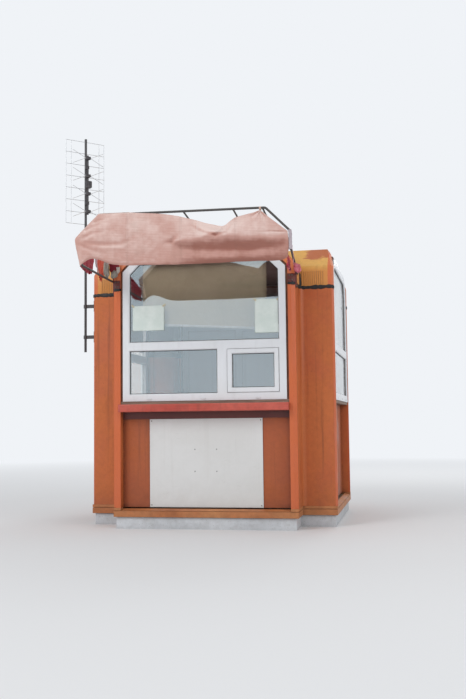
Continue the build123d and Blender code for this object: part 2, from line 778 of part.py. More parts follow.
# Aerial head: boom with insulator blocks, whiskers and a wire reflector
aerial_angle = radians(aerial_turn)
aerial_plane = Plane(
    origin=(mast_x, mast_y, 0),
    x_dir=(cos(aerial_angle), sin(aerial_angle), 0),
    z_dir=(sin(aerial_angle), -cos(aerial_angle), 0),
)
bay_bottom = mast_top - bay_drop
bay_heights = [bay_bottom + bay_pitch * bay for bay in range(bay_count)]
boom_length = bay_heights[-1] - bay_heights[0] + 2 * boom_end
with BuildPart() as aerial_boom:
    with BuildSketch(aerial_plane.offset(boom_offset - boom_size / 2)):
        with Locations((0, (bay_heights[0] + bay_heights[-1]) / 2)):
            Rectangle(boom_size, boom_length)
    extrude(amount=boom_size)
    with BuildSketch(aerial_plane.offset(boom_offset)):
        with Locations(*[(0, height) for height in bay_heights]):
            RectangleRounded(block_size[0], block_size[1], block_corner)
    extrude(amount=block_size[2])
    with BuildSketch(aerial_plane.offset(boom_offset)):
        with Locations((0, (bay_heights[1] + bay_heights[2]) / 2)):
            RectangleRounded(balun_size[0], balun_size[1], balun_corner)
    extrude(amount=balun_size[2])
    for height in (bay_heights[0] + boom_clamp_place, bay_heights[-1] - boom_clamp_place):
        with BuildSketch(aerial_plane.offset(mast_diameter / 2 + soft_gap)):
            with Locations((0, height)):
                Rectangle(boom_clamp[0], boom_clamp[1])
        extrude(amount=boom_offset - mast_diameter / 2 - soft_gap)
finish(aerial_boom, "aerial_boom")


def rod(start, end):
    """A six-sided rod between two points."""
    with BuildSketch(Plane(origin=start, z_dir=end - start)) as section:
        RegularPolygon(rod_diameter / 2, 6)
    extrude(section.sketch, amount=(end - start).length)


whisker_plane = aerial_plane.offset(boom_offset + block_size[2] / 2)
with BuildPart() as aerial_whiskers:
    for height in bay_heights:
        for side in (-1, 1):
            root = whisker_plane.from_local_coords((side * (block_size[0] / 2 + 1.4), height, 0))
            for rise in (-whisker_rise, whisker_rise):
                tip = whisker_plane.from_local_coords((side * whisker_reach, height + rise, 0))
                rod(root, tip)
finish(aerial_whiskers, "aerial_whiskers")

reflector_plane = aerial_plane.offset(-(mast_diameter / 2 + soft_gap + rod_diameter / 2))
reflector_bottom = bay_bottom - reflector_drop
reflector_top = reflector_bottom + reflector_pitch * (reflector_rods - 1)
with BuildPart() as aerial_reflector:
    for index in range(reflector_rods):
        height = reflector_bottom + reflector_pitch * index
        rod(
            reflector_plane.from_local_coords((-reflector_half, height, 0)),
            reflector_plane.from_local_coords((reflector_half, height, 0)),
        )
    for margin in reflector_upright_places:
        for place in (margin - reflector_half, reflector_half - margin):
            rod(
                reflector_plane.from_local_coords((place, reflector_bottom, 0)),
                reflector_plane.from_local_coords((place, reflector_top, 0)),
            )
finish(aerial_reflector, "aerial_reflector")
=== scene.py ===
from math import cos, pi, radians, sin

import bpy
import numpy as np
from mathutils import Matrix, Vector


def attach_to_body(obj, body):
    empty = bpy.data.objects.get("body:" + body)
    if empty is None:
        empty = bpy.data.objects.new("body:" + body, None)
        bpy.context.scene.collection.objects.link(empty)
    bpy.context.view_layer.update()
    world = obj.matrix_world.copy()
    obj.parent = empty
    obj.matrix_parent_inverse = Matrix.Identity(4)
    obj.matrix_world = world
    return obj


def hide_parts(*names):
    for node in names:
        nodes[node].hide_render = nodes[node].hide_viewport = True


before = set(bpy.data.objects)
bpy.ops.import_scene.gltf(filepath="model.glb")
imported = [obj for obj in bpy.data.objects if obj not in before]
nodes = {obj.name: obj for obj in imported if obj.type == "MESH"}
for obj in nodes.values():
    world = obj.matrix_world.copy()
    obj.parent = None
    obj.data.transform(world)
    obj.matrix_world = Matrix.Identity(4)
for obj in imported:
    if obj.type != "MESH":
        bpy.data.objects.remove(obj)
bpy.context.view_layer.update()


# Camera: a short tele lens at chest height, 8 m in front and a little to the right.
# It is built from its three directions, so that the small roll of the picture is kept.
image_height = 699
focal_pixels = 908.54
eye = (1.9183, -9.4478, 0.9921)
yaw, pitch, roll = 0.1953, 0.0789, -0.0113
forward = Vector((-sin(yaw) * cos(pitch), cos(yaw) * cos(pitch), sin(pitch)))
level = Vector((cos(yaw), sin(yaw), 0))
upright = level.cross(forward)
right = cos(roll) * level + sin(roll) * upright
upward = cos(roll) * upright - sin(roll) * level
camera = bpy.data.objects.new("camera", bpy.data.cameras.new("camera"))
camera.data.sensor_width = 36
camera.data.lens = focal_pixels / image_height * camera.data.sensor_width
camera.data.clip_end = 400
turn = Matrix((right, upward, -forward)).transposed().to_4x4()
camera.matrix_world = Matrix.Translation(eye) @ turn
bpy.context.scene.collection.objects.link(camera)
bpy.context.scene.camera = camera
bpy.context.scene.view_settings.view_transform = "Standard"


# Studio: an even pale surround, a wide soft lamp from the front left, a weak one from
# the right, and a round pale floor that fades into the surround far behind the kiosk.
class Field:
    """A number that varies over a surface. Sums, differences and products of fields place
    the nodes that work them out."""

    def __init__(self, socket):
        self.socket = socket

    def __add__(self, other):
        return reckon("ADD", self, other)

    def __sub__(self, other):
        return reckon("SUBTRACT", self, other)

    def __rsub__(self, other):
        return reckon("SUBTRACT", other, self)

    def __mul__(self, other):
        return reckon("MULTIPLY", self, other)

    def __abs__(self):
        return reckon("ABSOLUTE", self)


def put(kind, inputs=(), tree=None, **settings):
    """Adds a shader node, with its settings, and fills its sockets with values or links.
    Without a tree it goes into the one that its first link comes from."""
    inputs = {key: value.socket if isinstance(value, Field) else value for key, value in dict(inputs).items()}
    links = {key: value for key, value in inputs.items() if isinstance(value, bpy.types.NodeSocket)}
    tree = tree or next(iter(links.values())).id_data
    node = tree.nodes.new("ShaderNode" + kind)
    for name, value in settings.items():
        setattr(node, name, value)
    for key, value in inputs.items():
        if key in links:
            tree.links.new(value, node.inputs[key])
        else:
            node.inputs[key].default_value = value
    return node


def feed(node, **sockets):
    """Links values to a node's sockets, named with an underscore for each space."""
    for name, value in sockets.items():
        value = value.socket if isinstance(value, Field) else value
        node.id_data.links.new(value, node.inputs[name.replace("_", " ")])


def reckon(operation, first, second=0.0, clamp=False):
    """One sum, product or other operation on two numbers."""
    return Field(put("Math", {0: first, 1: second}, operation=operation, use_clamp=clamp).outputs[0])


def highest(first, *others):
    """The greatest of two or more numbers."""
    for other in others:
        first = reckon("MAXIMUM", first, other)
    return first


def ramp(value, start, width):
    """0 up to the start, 1 past the width beyond it, and straight between."""
    return Field(put("MapRange", {"Value": value, "From Min": start, "From Max": start + width}).outputs[0])


def blend(share, first, second, how="MIX"):
    """A colour between two others, by a share from 0 to 1."""
    sockets = {0: share, 6: first, 7: second}
    return put("Mix", sockets, data_type="RGBA", blend_type=how).outputs[2]


def paint(red, green, blue):
    """A colour given as it looks on a screen, 0 to 255, turned into linear light."""
    shares = np.array([red, green, blue]) / 255
    linear = np.where(shares <= 0.04045, shares / 12.92, ((shares + 0.055) / 1.055) ** 2.4)
    return (*linear.tolist(), 1.0)


def material(name, **sockets):
    """A material with constant values on the shader's own sockets."""
    made = bpy.data.materials.new(name)
    made.use_nodes = True
    shader = made.node_tree.nodes["Principled BSDF"]
    for key, value in sockets.items():
        shader.inputs[key.replace("_", " ")].default_value = value
    return made, made.node_tree, shader


surround = bpy.data.worlds.new("surround")
bpy.context.scene.world = surround
surround.use_nodes = True
ray = put("LightPath", tree=surround.node_tree).outputs
seen = highest(ray["Is Camera Ray"], ray["Is Glossy Ray"], ray["Is Transmission Ray"])
background = surround.node_tree.nodes["Background"]
background.inputs["Strength"].default_value = 1.0
pale = paint(240, 243, 247)
feed(background, Color=blend(seen, paint(204, 205, 207), pale))

cabin_height = Vector((0, 0, 1.4))
for name, place, size, watts in (
    ("lamp_front_left", (-5.5, -9.0, 7.5), 6.0, 430),
    ("lamp_front_right", (7.5, -6.0, 5.0), 5.0, 140),
    ("lamp_rear", (2.0, 9.0, 7.0), 6.0, 260),
):
    lamp = bpy.data.objects.new(name, bpy.data.lights.new(name, "AREA"))
    lamp.data.shape = "DISK"
    lamp.data.size = size
    lamp.data.energy = watts
    lamp.location = place
    lamp.rotation_mode = "QUATERNION"
    lamp.rotation_quaternion = (Vector(place) - cabin_height).to_track_quat("Z", "Y")
    bpy.context.scene.collection.objects.link(lamp)


def grid_faces(rows, columns, close_rows=False, close_columns=False):
    """Quads of a grid of points, each between neighbours along both parameters."""
    i = np.arange(rows if close_rows else rows - 1)
    j = np.arange(columns if close_columns else columns - 1)
    i, j = (part.ravel() for part in np.meshgrid(i, j, indexing="ij"))
    i_next, j_next = (i + 1) % rows, (j + 1) % columns
    corners = (i * columns + j, i_next * columns + j, i_next * columns + j_next, i * columns + j_next)
    return np.stack(corners, -1)


def new_object(name, points, faces, uv=None, smooth=True, caps=()):
    """A mesh object at the origin from an array of points and an array of quads, with
    many-sided faces as its caps."""
    mesh = bpy.data.meshes.new(name)
    points = np.asarray(points, float).reshape(-1, 3)
    mesh.from_pydata(points.tolist(), [], faces.tolist() + [list(cap) for cap in caps])
    if uv is not None:
        layer = mesh.uv_layers.new(name="UVMap")
        layer.data.foreach_set("uv", np.asarray(uv, np.float32).reshape(-1, 2)[faces.ravel()].ravel())
    mesh.polygons.foreach_set("use_smooth", np.full(len(mesh.polygons), smooth))
    thing = bpy.data.objects.new(name, mesh)
    bpy.context.scene.collection.objects.link(thing)
    return thing


angles = np.linspace(0, 2 * pi, 97)[:-1]
radii = np.array([0.01, 4, 12, 40, 150])
rings = np.outer(radii, np.cos(angles)), np.outer(radii, np.sin(angles)), np.zeros((len(radii), len(angles)))
floor_faces = grid_faces(len(radii), len(angles), close_columns=True)[:, ::-1]
floor = new_object("floor", np.stack(rings, -1), floor_faces)
floor_look, tree, shader = material(
    "studio floor", Roughness=0.9, Specular_IOR_Level=0.2, Base_Color=paint(224, 225, 226)
)
from_origin = put("VectorMath", {0: put("NewGeometry", tree=tree).outputs["Position"]}, operation="LENGTH")
haze_start, haze_width = 3.6, 11.4
haze = ramp(from_origin.outputs["Value"], haze_start, haze_width)
glow = put("Emission", {"Color": pale}, tree)
fading = put("MixShader", {0: haze, 1: shader.outputs[0], 2: glow.outputs[0]})
feed(tree.nodes["Material Output"], Surface=fading.outputs[0])
floor.data.materials.append(floor_look)


# Weather: what years outdoors do to any upright skin. Broad patches fade, rain draws
# thin streaks downwards, corners and joins are darkened by ambient occlusion as painted
# shade, and soil splashes up from the ground.
def position(tree, scale=(1, 1, 1), turn=(0, 0, 0), shift=(0, 0, 0)):
    """The object's own coordinates in metres, stretched, then turned, then shifted."""
    place = put("TexCoord", tree=tree).outputs["Object"]
    sockets = {"Vector": place, "Scale": scale, "Rotation": turn, "Location": shift}
    return put("Mapping", sockets).outputs["Vector"]


def axes(vector):
    """The three numbers of a vector."""
    return [Field(part) for part in put("SeparateXYZ", {0: vector}).outputs]


def clouds(vector, scale, detail=3.0, roughness=0.5, twist=0.0):
    """Soft noise from 0 to 1, with about that many blobs to the metre."""
    sockets = {"Vector": vector, "Scale": scale, "Detail": detail, "Roughness": roughness}
    return Field(put("TexNoise", sockets | {"Distortion": twist}).outputs[0])


def spread(value, low, high, start=0.0, end=1.0):
    """A smooth step that leaves start at the low value and reaches end at the high one."""
    sockets = {"Value": value, "From Min": low, "From Max": high, "To Min": start, "To Max": end}
    return Field(put("MapRange", sockets, interpolation_type="SMOOTHSTEP").outputs[0])


def grey(value):
    """A colour of three equal parts."""
    return put("CombineColor", {0: value, 1: value, 2: value}).outputs[0]


def effect(name, inputs, outputs):
    """An empty shader node group with named inputs and outputs, what its inputs give by
    name, and its output node."""
    group = bpy.data.node_groups.new(name, "ShaderNodeTree")
    for label, start in inputs.items():
        kind = "NodeSocketColor" if isinstance(start, tuple) else "NodeSocketFloat"
        group.interface.new_socket(name=label, in_out="INPUT", socket_type=kind).default_value = start
    for label, kind in outputs.items():
        group.interface.new_socket(name=label, in_out="OUTPUT", socket_type="NodeSocket" + kind)
    given = {socket.name: Field(socket) for socket in group.nodes.new("NodeGroupInput").outputs}
    return group, given, group.nodes.new("NodeGroupOutput")


weather, given, gives = effect(
    "weather",
    {"Colour": (0.8, 0.8, 0.8, 1), "Faded": (0.9, 0.9, 0.9, 1), "Dirt": (0.1, 0.08, 0.06, 1),
     "Fade": 0.5, "Streaks": 0.4, "Grime": 0.5, "Splash": 0.4, "Mottle": 0.18},
    {"Colour": "Color", "Soiled": "Float", "Worn": "Float"},
)
here = position(weather)
broad = clouds(here, 1.7, 4, 0.6, 0.4)
worn = reckon("MULTIPLY", spread(broad, 0.36, 0.66), given["Fade"], clamp=True)
mottle = clouds(here, 26, 5, 0.65)
shade = grey((mottle - 0.5) * given["Mottle"] * 2.0 + 1.0)
tone = blend(1.0, blend(worn, given["Colour"], given["Faded"]), shade, "MULTIPLY")
flatness = abs(axes(put("NewGeometry", tree=weather).outputs["Normal"])[2])
runs = spread(clouds(position(weather, (17, 17, 0.7)), 1.0, 5, 0.62), 0.5, 0.78)
runs = runs * reckon("SUBTRACT", 1.0, flatness, clamp=True) * given["Streaks"]
# Painted shade: ambient occlusion darkens corners, recesses and joins towards the dirt colour.
corner_shade = put("AmbientOcclusion", {"Distance": 0.07}, weather, samples=6).outputs["AO"]
corner_shade = spread(corner_shade, 0.95, 0.35) * spread(mottle, 0.3, 0.6, 0.35, 1.0) * given["Grime"]
low = spread(axes(here)[2] + broad * 0.35, 0.75, 0.15)
low = low * spread(clouds(here, 9, 6, 0.7), 0.3, 0.7, 0.3, 1.0) * given["Splash"]
soiled_and_shaded = reckon("MINIMUM", highest(runs, corner_shade, low), 0.92)
feed(gives, Colour=blend(soiled_and_shaded, tone, given["Dirt"]), Soiled=soiled_and_shaded, Worn=worn)


# Plinth: a low cross of pale precast concrete, cast in steel moulds, with small air
# holes, rain stains down its sides and soil splashed along the foot.
def use(tree, group, **values):
    """Places an effect in a material with its own values, and gives its outputs by name."""
    return {socket.name: Field(socket) for socket in put("Group", values, tree, node_tree=group).outputs}


def bumped(shader, height, depth, normal=None):
    """Feeds a height from 0 to 1 into the shader as a bump of that depth in metres."""
    sockets = {"Height": height, "Distance": depth, "Strength": 1.0}
    if normal is not None:
        sockets["Normal"] = normal
    feed(shader, Normal=put("Bump", sockets).outputs[0])


def dress(look, *names):
    """Gives a material to carried-over solids by their names."""
    for name in names:
        nodes[name].data.materials.clear()
        nodes[name].data.materials.append(look)


concrete, tree, shader = material("precast concrete", Specular_IOR_Level=0.3)
here = position(tree)
skin = use(tree, weather, Colour=paint(210, 214, 219), Faded=paint(224, 227, 231), Dirt=paint(112, 106, 98),
           Fade=0.8, Streaks=0.4, Grime=0.5, Splash=0.36, Mottle=0.10)
holes = spread(put("TexVoronoi", {"Vector": here, "Scale": 60.0}).outputs["Distance"], 0.05, 0.16)
feed(shader, Base_Color=blend(1.0 - holes, skin["Colour"], paint(120, 116, 108)),
     Roughness=spread(skin["Soiled"], 0.0, 1.0, 0.82, 0.95))
bumped(shader, clouds(here, 180, 4, 0.7) * 0.5 + holes, 0.0012)
dress(concrete, "base_plinth")


# Moulded body: the floor tray, the four corner pillars and the parapets are glass fibre
# laid up in moulds, with an orange outer coat that has gone chalky and is streaked. The
# inner skin above the sills is coloured a dull brown grey as painted shade of the dim cabin.
def dot(first, second):
    """The product of two vectors."""
    return Field(put("VectorMath", {0: first, 1: second}, operation="DOT_PRODUCT").outputs["Value"])


def from_middle(tree):
    """How far a place is from the middle of the plan, along the nearer of its two arms."""
    x, y, _ = axes(position(tree))
    return highest(abs(x), abs(y))


sill_height, cabin_middle, inner_skin = 1.75, 1.6, 1.125
# Painted shade: this dull brown grey stands for the dim cabin on inner faces above the sills.
cabin_shade_colour = paint(92, 86, 84)
indoors, given, gives = effect("indoors", {"From": sill_height}, {"Mask": "Float"})
outwards = put("VectorMath", {0: position(indoors), 1: (0, 0, cabin_middle)}, operation="SUBTRACT").outputs[0]
turned = dot(outwards, put("NewGeometry", tree=indoors).outputs["Normal"])
mask = reckon("LESS_THAN", turned, 0.0) * reckon("LESS_THAN", from_middle(indoors), inner_skin)
feed(gives, Mask=mask * reckon("GREATER_THAN", axes(position(indoors))[2], given["From"]))


def gelcoat(name, colour, faded, dirt, fade=0.7, corner_shade_amount=0.8, splash=0.5, specks=None, over=None):
    """Glass-fibre skin: glossy coat with a slow waviness, chalky where it is worn, with dark
    specks, and coloured dull brown grey indoors as painted shade. Over is a function that
    lays more on the coat."""
    look, tree, shader = material(name, Coat_Weight=0.12, Coat_Roughness=0.3)
    here = position(tree)
    skin = use(tree, weather, Colour=colour, Faded=faded, Dirt=dirt, Fade=fade, Streaks=0.5,
               Grime=corner_shade_amount, Splash=splash)
    coat = over(tree, skin["Colour"]) if over else skin["Colour"]
    coat = blend(spread(clouds(here, 230, 2, 0.6), 0.66, 0.74), coat, specks or dirt)
    feed(shader, Base_Color=blend(use(tree, indoors)["Mask"], coat, cabin_shade_colour),
         Roughness=spread(highest(skin["Soiled"], skin["Worn"]), 0.0, 0.8, 0.46, 0.78))
    rounded = put("Bevel", {"Radius": 0.006}, tree, samples=4).outputs[0]
    bumped(shader, clouds(here, 5, 2, 0.5) + clouds(here, 300, 2, 0.5) * 0.12, 0.0016, rounded)
    return look


def pillar_coat(tree, coat):
    """A redder coat on the faces round the portals, which lie farthest from the middle."""
    return blend(spread(from_middle(tree), 1.178, 1.186) * 0.75, coat, paint(206, 100, 56))


dress(gelcoat("orange gelcoat", paint(188, 94, 44), paint(198, 114, 62), paint(88, 48, 28), corner_shade_amount=0.6,
              specks=paint(84, 44, 26), over=pillar_coat),
      "pillar_front_right", "pillar_rear_right", "pillar_rear_left", "pillar_front_left")
dress(gelcoat("orange tray gelcoat", paint(190, 112, 60), paint(206, 142, 92), paint(88, 58, 38),
              fade=0.8, corner_shade_amount=0.7), "floor_tray")
dress(gelcoat("brown orange gelcoat", paint(164, 80, 38), paint(174, 92, 48), paint(72, 38, 26),
              splash=0.6), "front_parapet", "right_parapet", "left_parapet")


# Floor deck: boards laid over the tray inside, their grain raised by wear and trodden dark
# in patches. They show through the panes.
deck_look, tree, shader = material("board floor", Roughness=0.6)
grain = clouds(position(tree, (4, 60, 60)), 1.0, 6, 0.6, 0.6)
boards = blend(spread(grain, 0.3, 0.7), paint(96, 78, 60), paint(146, 122, 96))
trodden = spread(clouds(position(tree), 3, 4), 0.45, 0.7, 0, 0.6)
feed(shader, Base_Color=blend(trodden, boards, paint(70, 62, 54)))
bumped(shader, grain, 0.0006)
dress(deck_look, "floor_deck")


# Seal: a strip of black rubber pressed between the pillars and the roof shell, lumpy where
# it is daubed over, with dust lying on it in patches.
def dusty_black(name, roughness, dark, dust, patches, share, lumps, depth):
    """Black rubber or putty with patches of dust and with lumps, so many to the metre."""
    look, tree, shader = material(name, Roughness=roughness)
    dusty = spread(clouds(position(tree), patches, 6, 0.7), 0.45, 0.75, 0, share)
    feed(shader, Base_Color=blend(dusty, dark, dust))
    bumped(shader, clouds(position(tree), lumps, 5, 0.65), depth)
    return look


seal_look = dusty_black("black rubber seal", 0.65, paint(24, 22, 22), paint(74, 66, 60), 12, 0.5, 45, 0.004)
dress(seal_look, "roof_seal")


# Roof shell: one moulding with four arched portals. Its yellow top coat has faded, and
# has peeled along the upper edges, most of all at one shoulder, down to a red brown coat.
def roof_coat(tree, coat):
    """An orange tint down the fascia, ragged noise peeled off near the top and round one
    shoulder, and a redder coat on the faces round the portals."""
    z = axes(position(tree))[2]
    coat = blend(spread(z, 2.47, 2.4) * 0.8, coat, paint(206, 132, 62))
    shoulder, stretch = (1.05, -0.62, 2.56), (4, 1.6, 7)
    off = position(tree, stretch, shift=-np.multiply(shoulder, stretch))
    off = put("VectorMath", {0: off}, operation="LENGTH").outputs["Value"]
    peeled = clouds(position(tree, (5, 5, 14)), 1.0, 8, 0.72, 0.5) + spread(z, 2.5, 2.64, -0.3, 0.0)
    peeled = spread(peeled + spread(off, 1.0, 0.35, 0, 0.30), 0.58, 0.66, 0, 0.9)
    coat = blend(peeled, coat, paint(176, 92, 58))
    return blend(spread(from_middle(tree), 1.145, 1.15) * 0.85, coat, paint(206, 102, 62))


dress(gelcoat("yellow roof gelcoat", paint(214, 160, 76), paint(222, 178, 104), paint(132, 88, 44),
              fade=0.8, corner_shade_amount=0.28, splash=0, specks=paint(110, 66, 34), over=roof_coat), "roof_shell")


# Window frames, the hatch sash and the door: white plastic profiles, satin, welded at
# their corners and rounded along their edges, darkened where profiles meet as painted shade.
plastic_look, tree, shader = material("white window plastic", Coat_Weight=0.1, Coat_Roughness=0.25)
skin = use(tree, weather, Colour=paint(226, 228, 232), Faded=paint(220, 222, 224), Dirt=paint(120, 112, 102),
           Fade=0.7, Streaks=0.10, Grime=0.6, Splash=0.25, Mottle=0.03)
feed(shader, Base_Color=skin["Colour"], Roughness=spread(skin["Soiled"], 0.0, 0.7, 0.3, 0.6))
rounded = put("Bevel", {"Radius": 0.004}, tree, samples=4).outputs[0]
bumped(shader, clouds(position(tree), 40, 3, 0.5), 0.0003, rounded)
dress(plastic_look, "front_window_frame", "hatch_sash", "right_window_frame", "left_window_frame",
      "rear_door_frame", "rear_door_leaf", "rear_side_panel", "rear_upper_panel", "blind_roller")


# Panes: clear sealed glazing that mirrors the sky strongly over the dim cabin, with a
# thin film of dust. The panes lean back by a hair, and lamps shine through them. Both
# faces of a pane lean alike, so that it shows one reflection and not two.
glass_look, tree, shader = material(
    "window glass", Transmission_Weight=1.0, IOR=3.1, Metallic=0.0,
    Specular_Tint=paint(229, 246, 255), Base_Color=paint(247, 250, 250),
)
pane_lean = 0.036
feed(shader, Roughness=spread(clouds(position(tree, (3, 3, 1.4)), 1.0, 6, 0.65), 0.4, 0.8, 0.0, 0.05))
level_place = put("VectorMath", {0: position(tree), 1: (1, 1, 0)}, operation="MULTIPLY").outputs[0]
outwards = reckon("SIGN", dot(put("NewGeometry", tree=tree).outputs["Normal"], level_place))
bumped(shader, axes(position(tree))[2] * -1.0 * outwards, pane_lean)
lamp_light = put("LightPath", tree=tree).outputs["Is Shadow Ray"]
clear = put("BsdfTransparent", tree=tree)
through = put("MixShader", {0: lamp_light, 1: shader.outputs[0], 2: clear.outputs[0]})
feed(tree.nodes["Material Output"], Surface=through.outputs[0])
dress(glass_look, "front_upper_glass", "front_lower_glass", "hatch_glass", "right_window_glass",
      "left_window_glass")


# Packers and sill strips: rough softwood wedged into the joints round the frames, dark
# brown beside the windows and the door, and greyer along the sills. The packers' dark
# brown is partly painted shade, for the shade in the gaps beside the frames.
def bare_wood(name, dark, light, stretch, scale):
    """Rough unpainted softwood, its grain stretched noise."""
    look, tree, shader = material(name, Roughness=0.75)
    grain = clouds(position(tree, stretch), scale, 6, 0.65, 0.8)
    feed(shader, Base_Color=blend(spread(grain, 0.3, 0.7), dark, light))
    bumped(shader, grain, 0.001)
    return look


# Partly painted shade: the packers' dark brown also stands for the shadow gap by the frames.
dress(bare_wood("brown packing wood and shade", paint(74, 44, 32), paint(122, 78, 56), (9, 9, 2), 4.0),
      "window_packers", "rear_packer")
dress(bare_wood("grey brown strips", paint(112, 92, 80), paint(152, 130, 114), (2, 2, 60), 2.0),
      "sill_strips")


# Counter ledge and rail: planed boards in red oil paint, brushed unevenly, bleached in
# patches and chipped along the edges. The rail's dark maroon is partly painted shade, for
# the shade under the ledge.
chips, given, gives = effect("paint chips", {"Amount": 0.5, "Size": 12.0}, {"Mask": "Float"})
turned = put("Bevel", {"Radius": 0.008}, chips, samples=4).outputs[0]
edge = spread(1.0 - dot(turned, put("NewGeometry", tree=chips).outputs["Normal"]), 0.02, 0.25)
limit = 0.86 - given["Amount"] * 0.3
feed(gives, Mask=ramp(clouds(position(chips), given["Size"], 8.0, 0.7) + edge * 0.22, limit, 0.03))


def painted_wood(name, colour, faded, dirt, under, amount):
    """Brushed oil paint over planed softwood, chipped along the edges."""
    look, tree, shader = material(name, Coat_Weight=0.08, Coat_Roughness=0.3)
    skin = use(tree, weather, Colour=colour, Faded=faded, Dirt=dirt, Fade=0.9, Streaks=0.3, Grime=0.75,
               Splash=0.0, Mottle=0.34)
    bare = use(tree, chips, Amount=amount, Size=16.0)["Mask"]
    brush = clouds(position(tree, (1.2, 90, 90)), 1.0, 4, 0.6)
    coat = blend(spread(brush, 0.35, 0.65, 0, 0.25), skin["Colour"], faded)
    feed(shader, Base_Color=blend(bare, coat, under), Roughness=spread(bare, 0, 1, 0.45, 0.8))
    bumped(shader, brush - bare, 0.0008)
    return look


dress(painted_wood("red ledge paint", paint(172, 60, 46), paint(194, 90, 74), paint(96, 44, 34),
                   paint(146, 96, 76), 0.72), "counter_ledge")
# Partly painted shade: the rail's dark maroon also stands for the shade under the ledge.
dress(painted_wood("maroon rail paint and shade", paint(92, 34, 30), paint(102, 46, 40), paint(50, 24, 26),
                   paint(120, 84, 66), 0.4), "counter_rail")


# Board: a white coated sheet under the counter, dusty, with its corners screwed down
# and four plugged holes in the middle where a fitting once hung.
board_look, tree, shader = material("white coated sheet", Specular_IOR_Level=0.4)
skin = use(tree, weather, Colour=paint(219, 219, 218), Faded=paint(213, 213, 211), Dirt=paint(150, 142, 130),
           Fade=0.8, Streaks=0.10, Grime=0.45, Splash=0.25, Mottle=0.03)
rubbed = spread(clouds(position(tree, (2, 2, 5)), 2.0, 6, 0.7), 0.58, 0.72, 0, 0.25)
feed(shader, Base_Color=blend(rubbed, skin["Colour"], paint(192, 190, 186)),
     Roughness=spread(rubbed, 0, 0.3, 0.42, 0.6))
bumped(shader, clouds(position(tree), 6, 2, 0.5), 0.001)
dress(board_look, "front_board")


# Door handle: a satin metal lever on a long upright plate, rubbed dull by hands, with fine
# marks that run up and down.
def dull_metal(name, metallic, dark, light, stretch, scale, detail, roughness, smooth, rough):
    """Bare metal, darker and smoother where its fine noise is low."""
    look, tree, shader = material(name, Metallic=metallic)
    marks = clouds(position(tree, stretch), scale, detail, roughness)
    feed(shader, Base_Color=blend(spread(marks, 0.3, 0.7), dark, light),
         Roughness=spread(marks, 0.3, 0.7, smooth, rough))
    return look


metal_look = dull_metal("satin metal", 1.0, paint(150, 150, 150), paint(186, 186, 186),
                        (200, 200, 4), 1.0, 3, 0.5, 0.3, 0.45)
dress(metal_look, "door_handle")


# Awning tubes, struts and brackets: bent steel, painted dark and gone matt, with patches
# of rust that come through the paint and stand up in scales.
rusty, given, gives = effect("rust", {"Paint": (0.1, 0.1, 0.1, 1), "Amount": 0.5},
                             {"Colour": "Color", "Roughness": "Float", "Height": "Float"})
here = position(rusty)
cover = ramp(clouds(here, 14, 8, 0.72), 0.82 - given["Amount"] * 0.5, 0.1)
scales = clouds(here, 120, 5, 0.7)
rust_tone = blend(spread(scales, 0.3, 0.7), paint(74, 40, 26), paint(142, 82, 46))
feed(gives, Colour=blend(cover, given["Paint"], rust_tone), Roughness=spread(cover, 0, 1, 0.5, 0.85),
     Height=cover * scales)


def weathered_steel(name, colour, amount):
    """Painted steel with rust coming through."""
    look, tree, shader = material(name)
    skin = use(tree, rusty, Paint=colour, Amount=amount)
    feed(shader, Base_Color=skin["Colour"], Roughness=skin["Roughness"])
    bumped(shader, skin["Height"], 0.0012)
    return look


dress(weathered_steel("dark tube paint", paint(72, 68, 66), 0.45), "awning_hoop", "awning_struts")
dress(weathered_steel("maroon bracket paint", paint(96, 38, 34), 0.5), "awning_brackets")


# Canopy: one sheet of coated red canvas, bleached to pink. It is still laced to the left
# leg and the left half of the bar. It has slipped off the right half, sags there into a
# scoop behind a fold, and is tied up again at one peak.
bar_turn = radians(2.77)
bar_middle_x, bar_middle_y = 0.020, -2.055


def on_hoop(across, height, out):
    """Points in the hoop's frame: along the bar, up, and out from it towards the street."""
    x = bar_middle_x + across * cos(bar_turn) + out * sin(bar_turn)
    y = bar_middle_y + across * sin(bar_turn) - out * cos(bar_turn)
    return np.stack(np.broadcast_arrays(x, y, height), -1)


def curve_through(stations, count):
    """Points evenly spaced by chord on a cubic through the stations, whose slope at each
    one is the weighted mean of the slopes of the chords beside it."""
    stations = np.asarray(stations, float)
    steps = np.r_[0, np.cumsum(np.linalg.norm(np.diff(stations, axis=0), axis=1))]
    slopes = np.gradient(stations, steps, axis=0)
    wanted = np.linspace(0, steps[-1], count)
    start = np.clip(np.searchsorted(steps, wanted, "right") - 1, 0, len(steps) - 2)
    span = (steps[start + 1] - steps[start])[:, None]
    t = (wanted - steps[start])[:, None] / span
    rest = (3 - 2 * t) * t**2
    bend = (t**3 - 2 * t**2 + t) * span * slopes[start] + (t**3 - t**2) * span * slopes[start + 1]
    return (1 - rest) * stations[start] + rest * stations[start + 1] + bend


def shares(rows, columns):
    """Two grids from 0 to 1, the first rising over the rows, the second over the columns."""
    return np.meshgrid(np.linspace(0, 1, rows), np.linspace(0, 1, columns), indexing="ij")


def patch_between(bottom, top, left, right):
    """A grid within four edge curves: the blend of bottom and top, plus the blend of left
    and right, less the blend of the four corners."""
    v, u = (share[..., None] for share in shares(len(left), len(bottom)))
    corners = (1 - v) * ((1 - u) * bottom[0] + u * bottom[-1]) + v * ((1 - u) * top[0] + u * top[-1])
    return (1 - v) * bottom + v * top + (1 - u) * left[:, None] + u * right[:, None] - corners


def ease(value, low, high):
    """0 at low and 1 at high, level at both ends: three times the square of the share of
    the way, less twice its cube."""
    share = np.clip((value - low) / (high - low), 0, 1)
    return share * share * (3 - 2 * share)


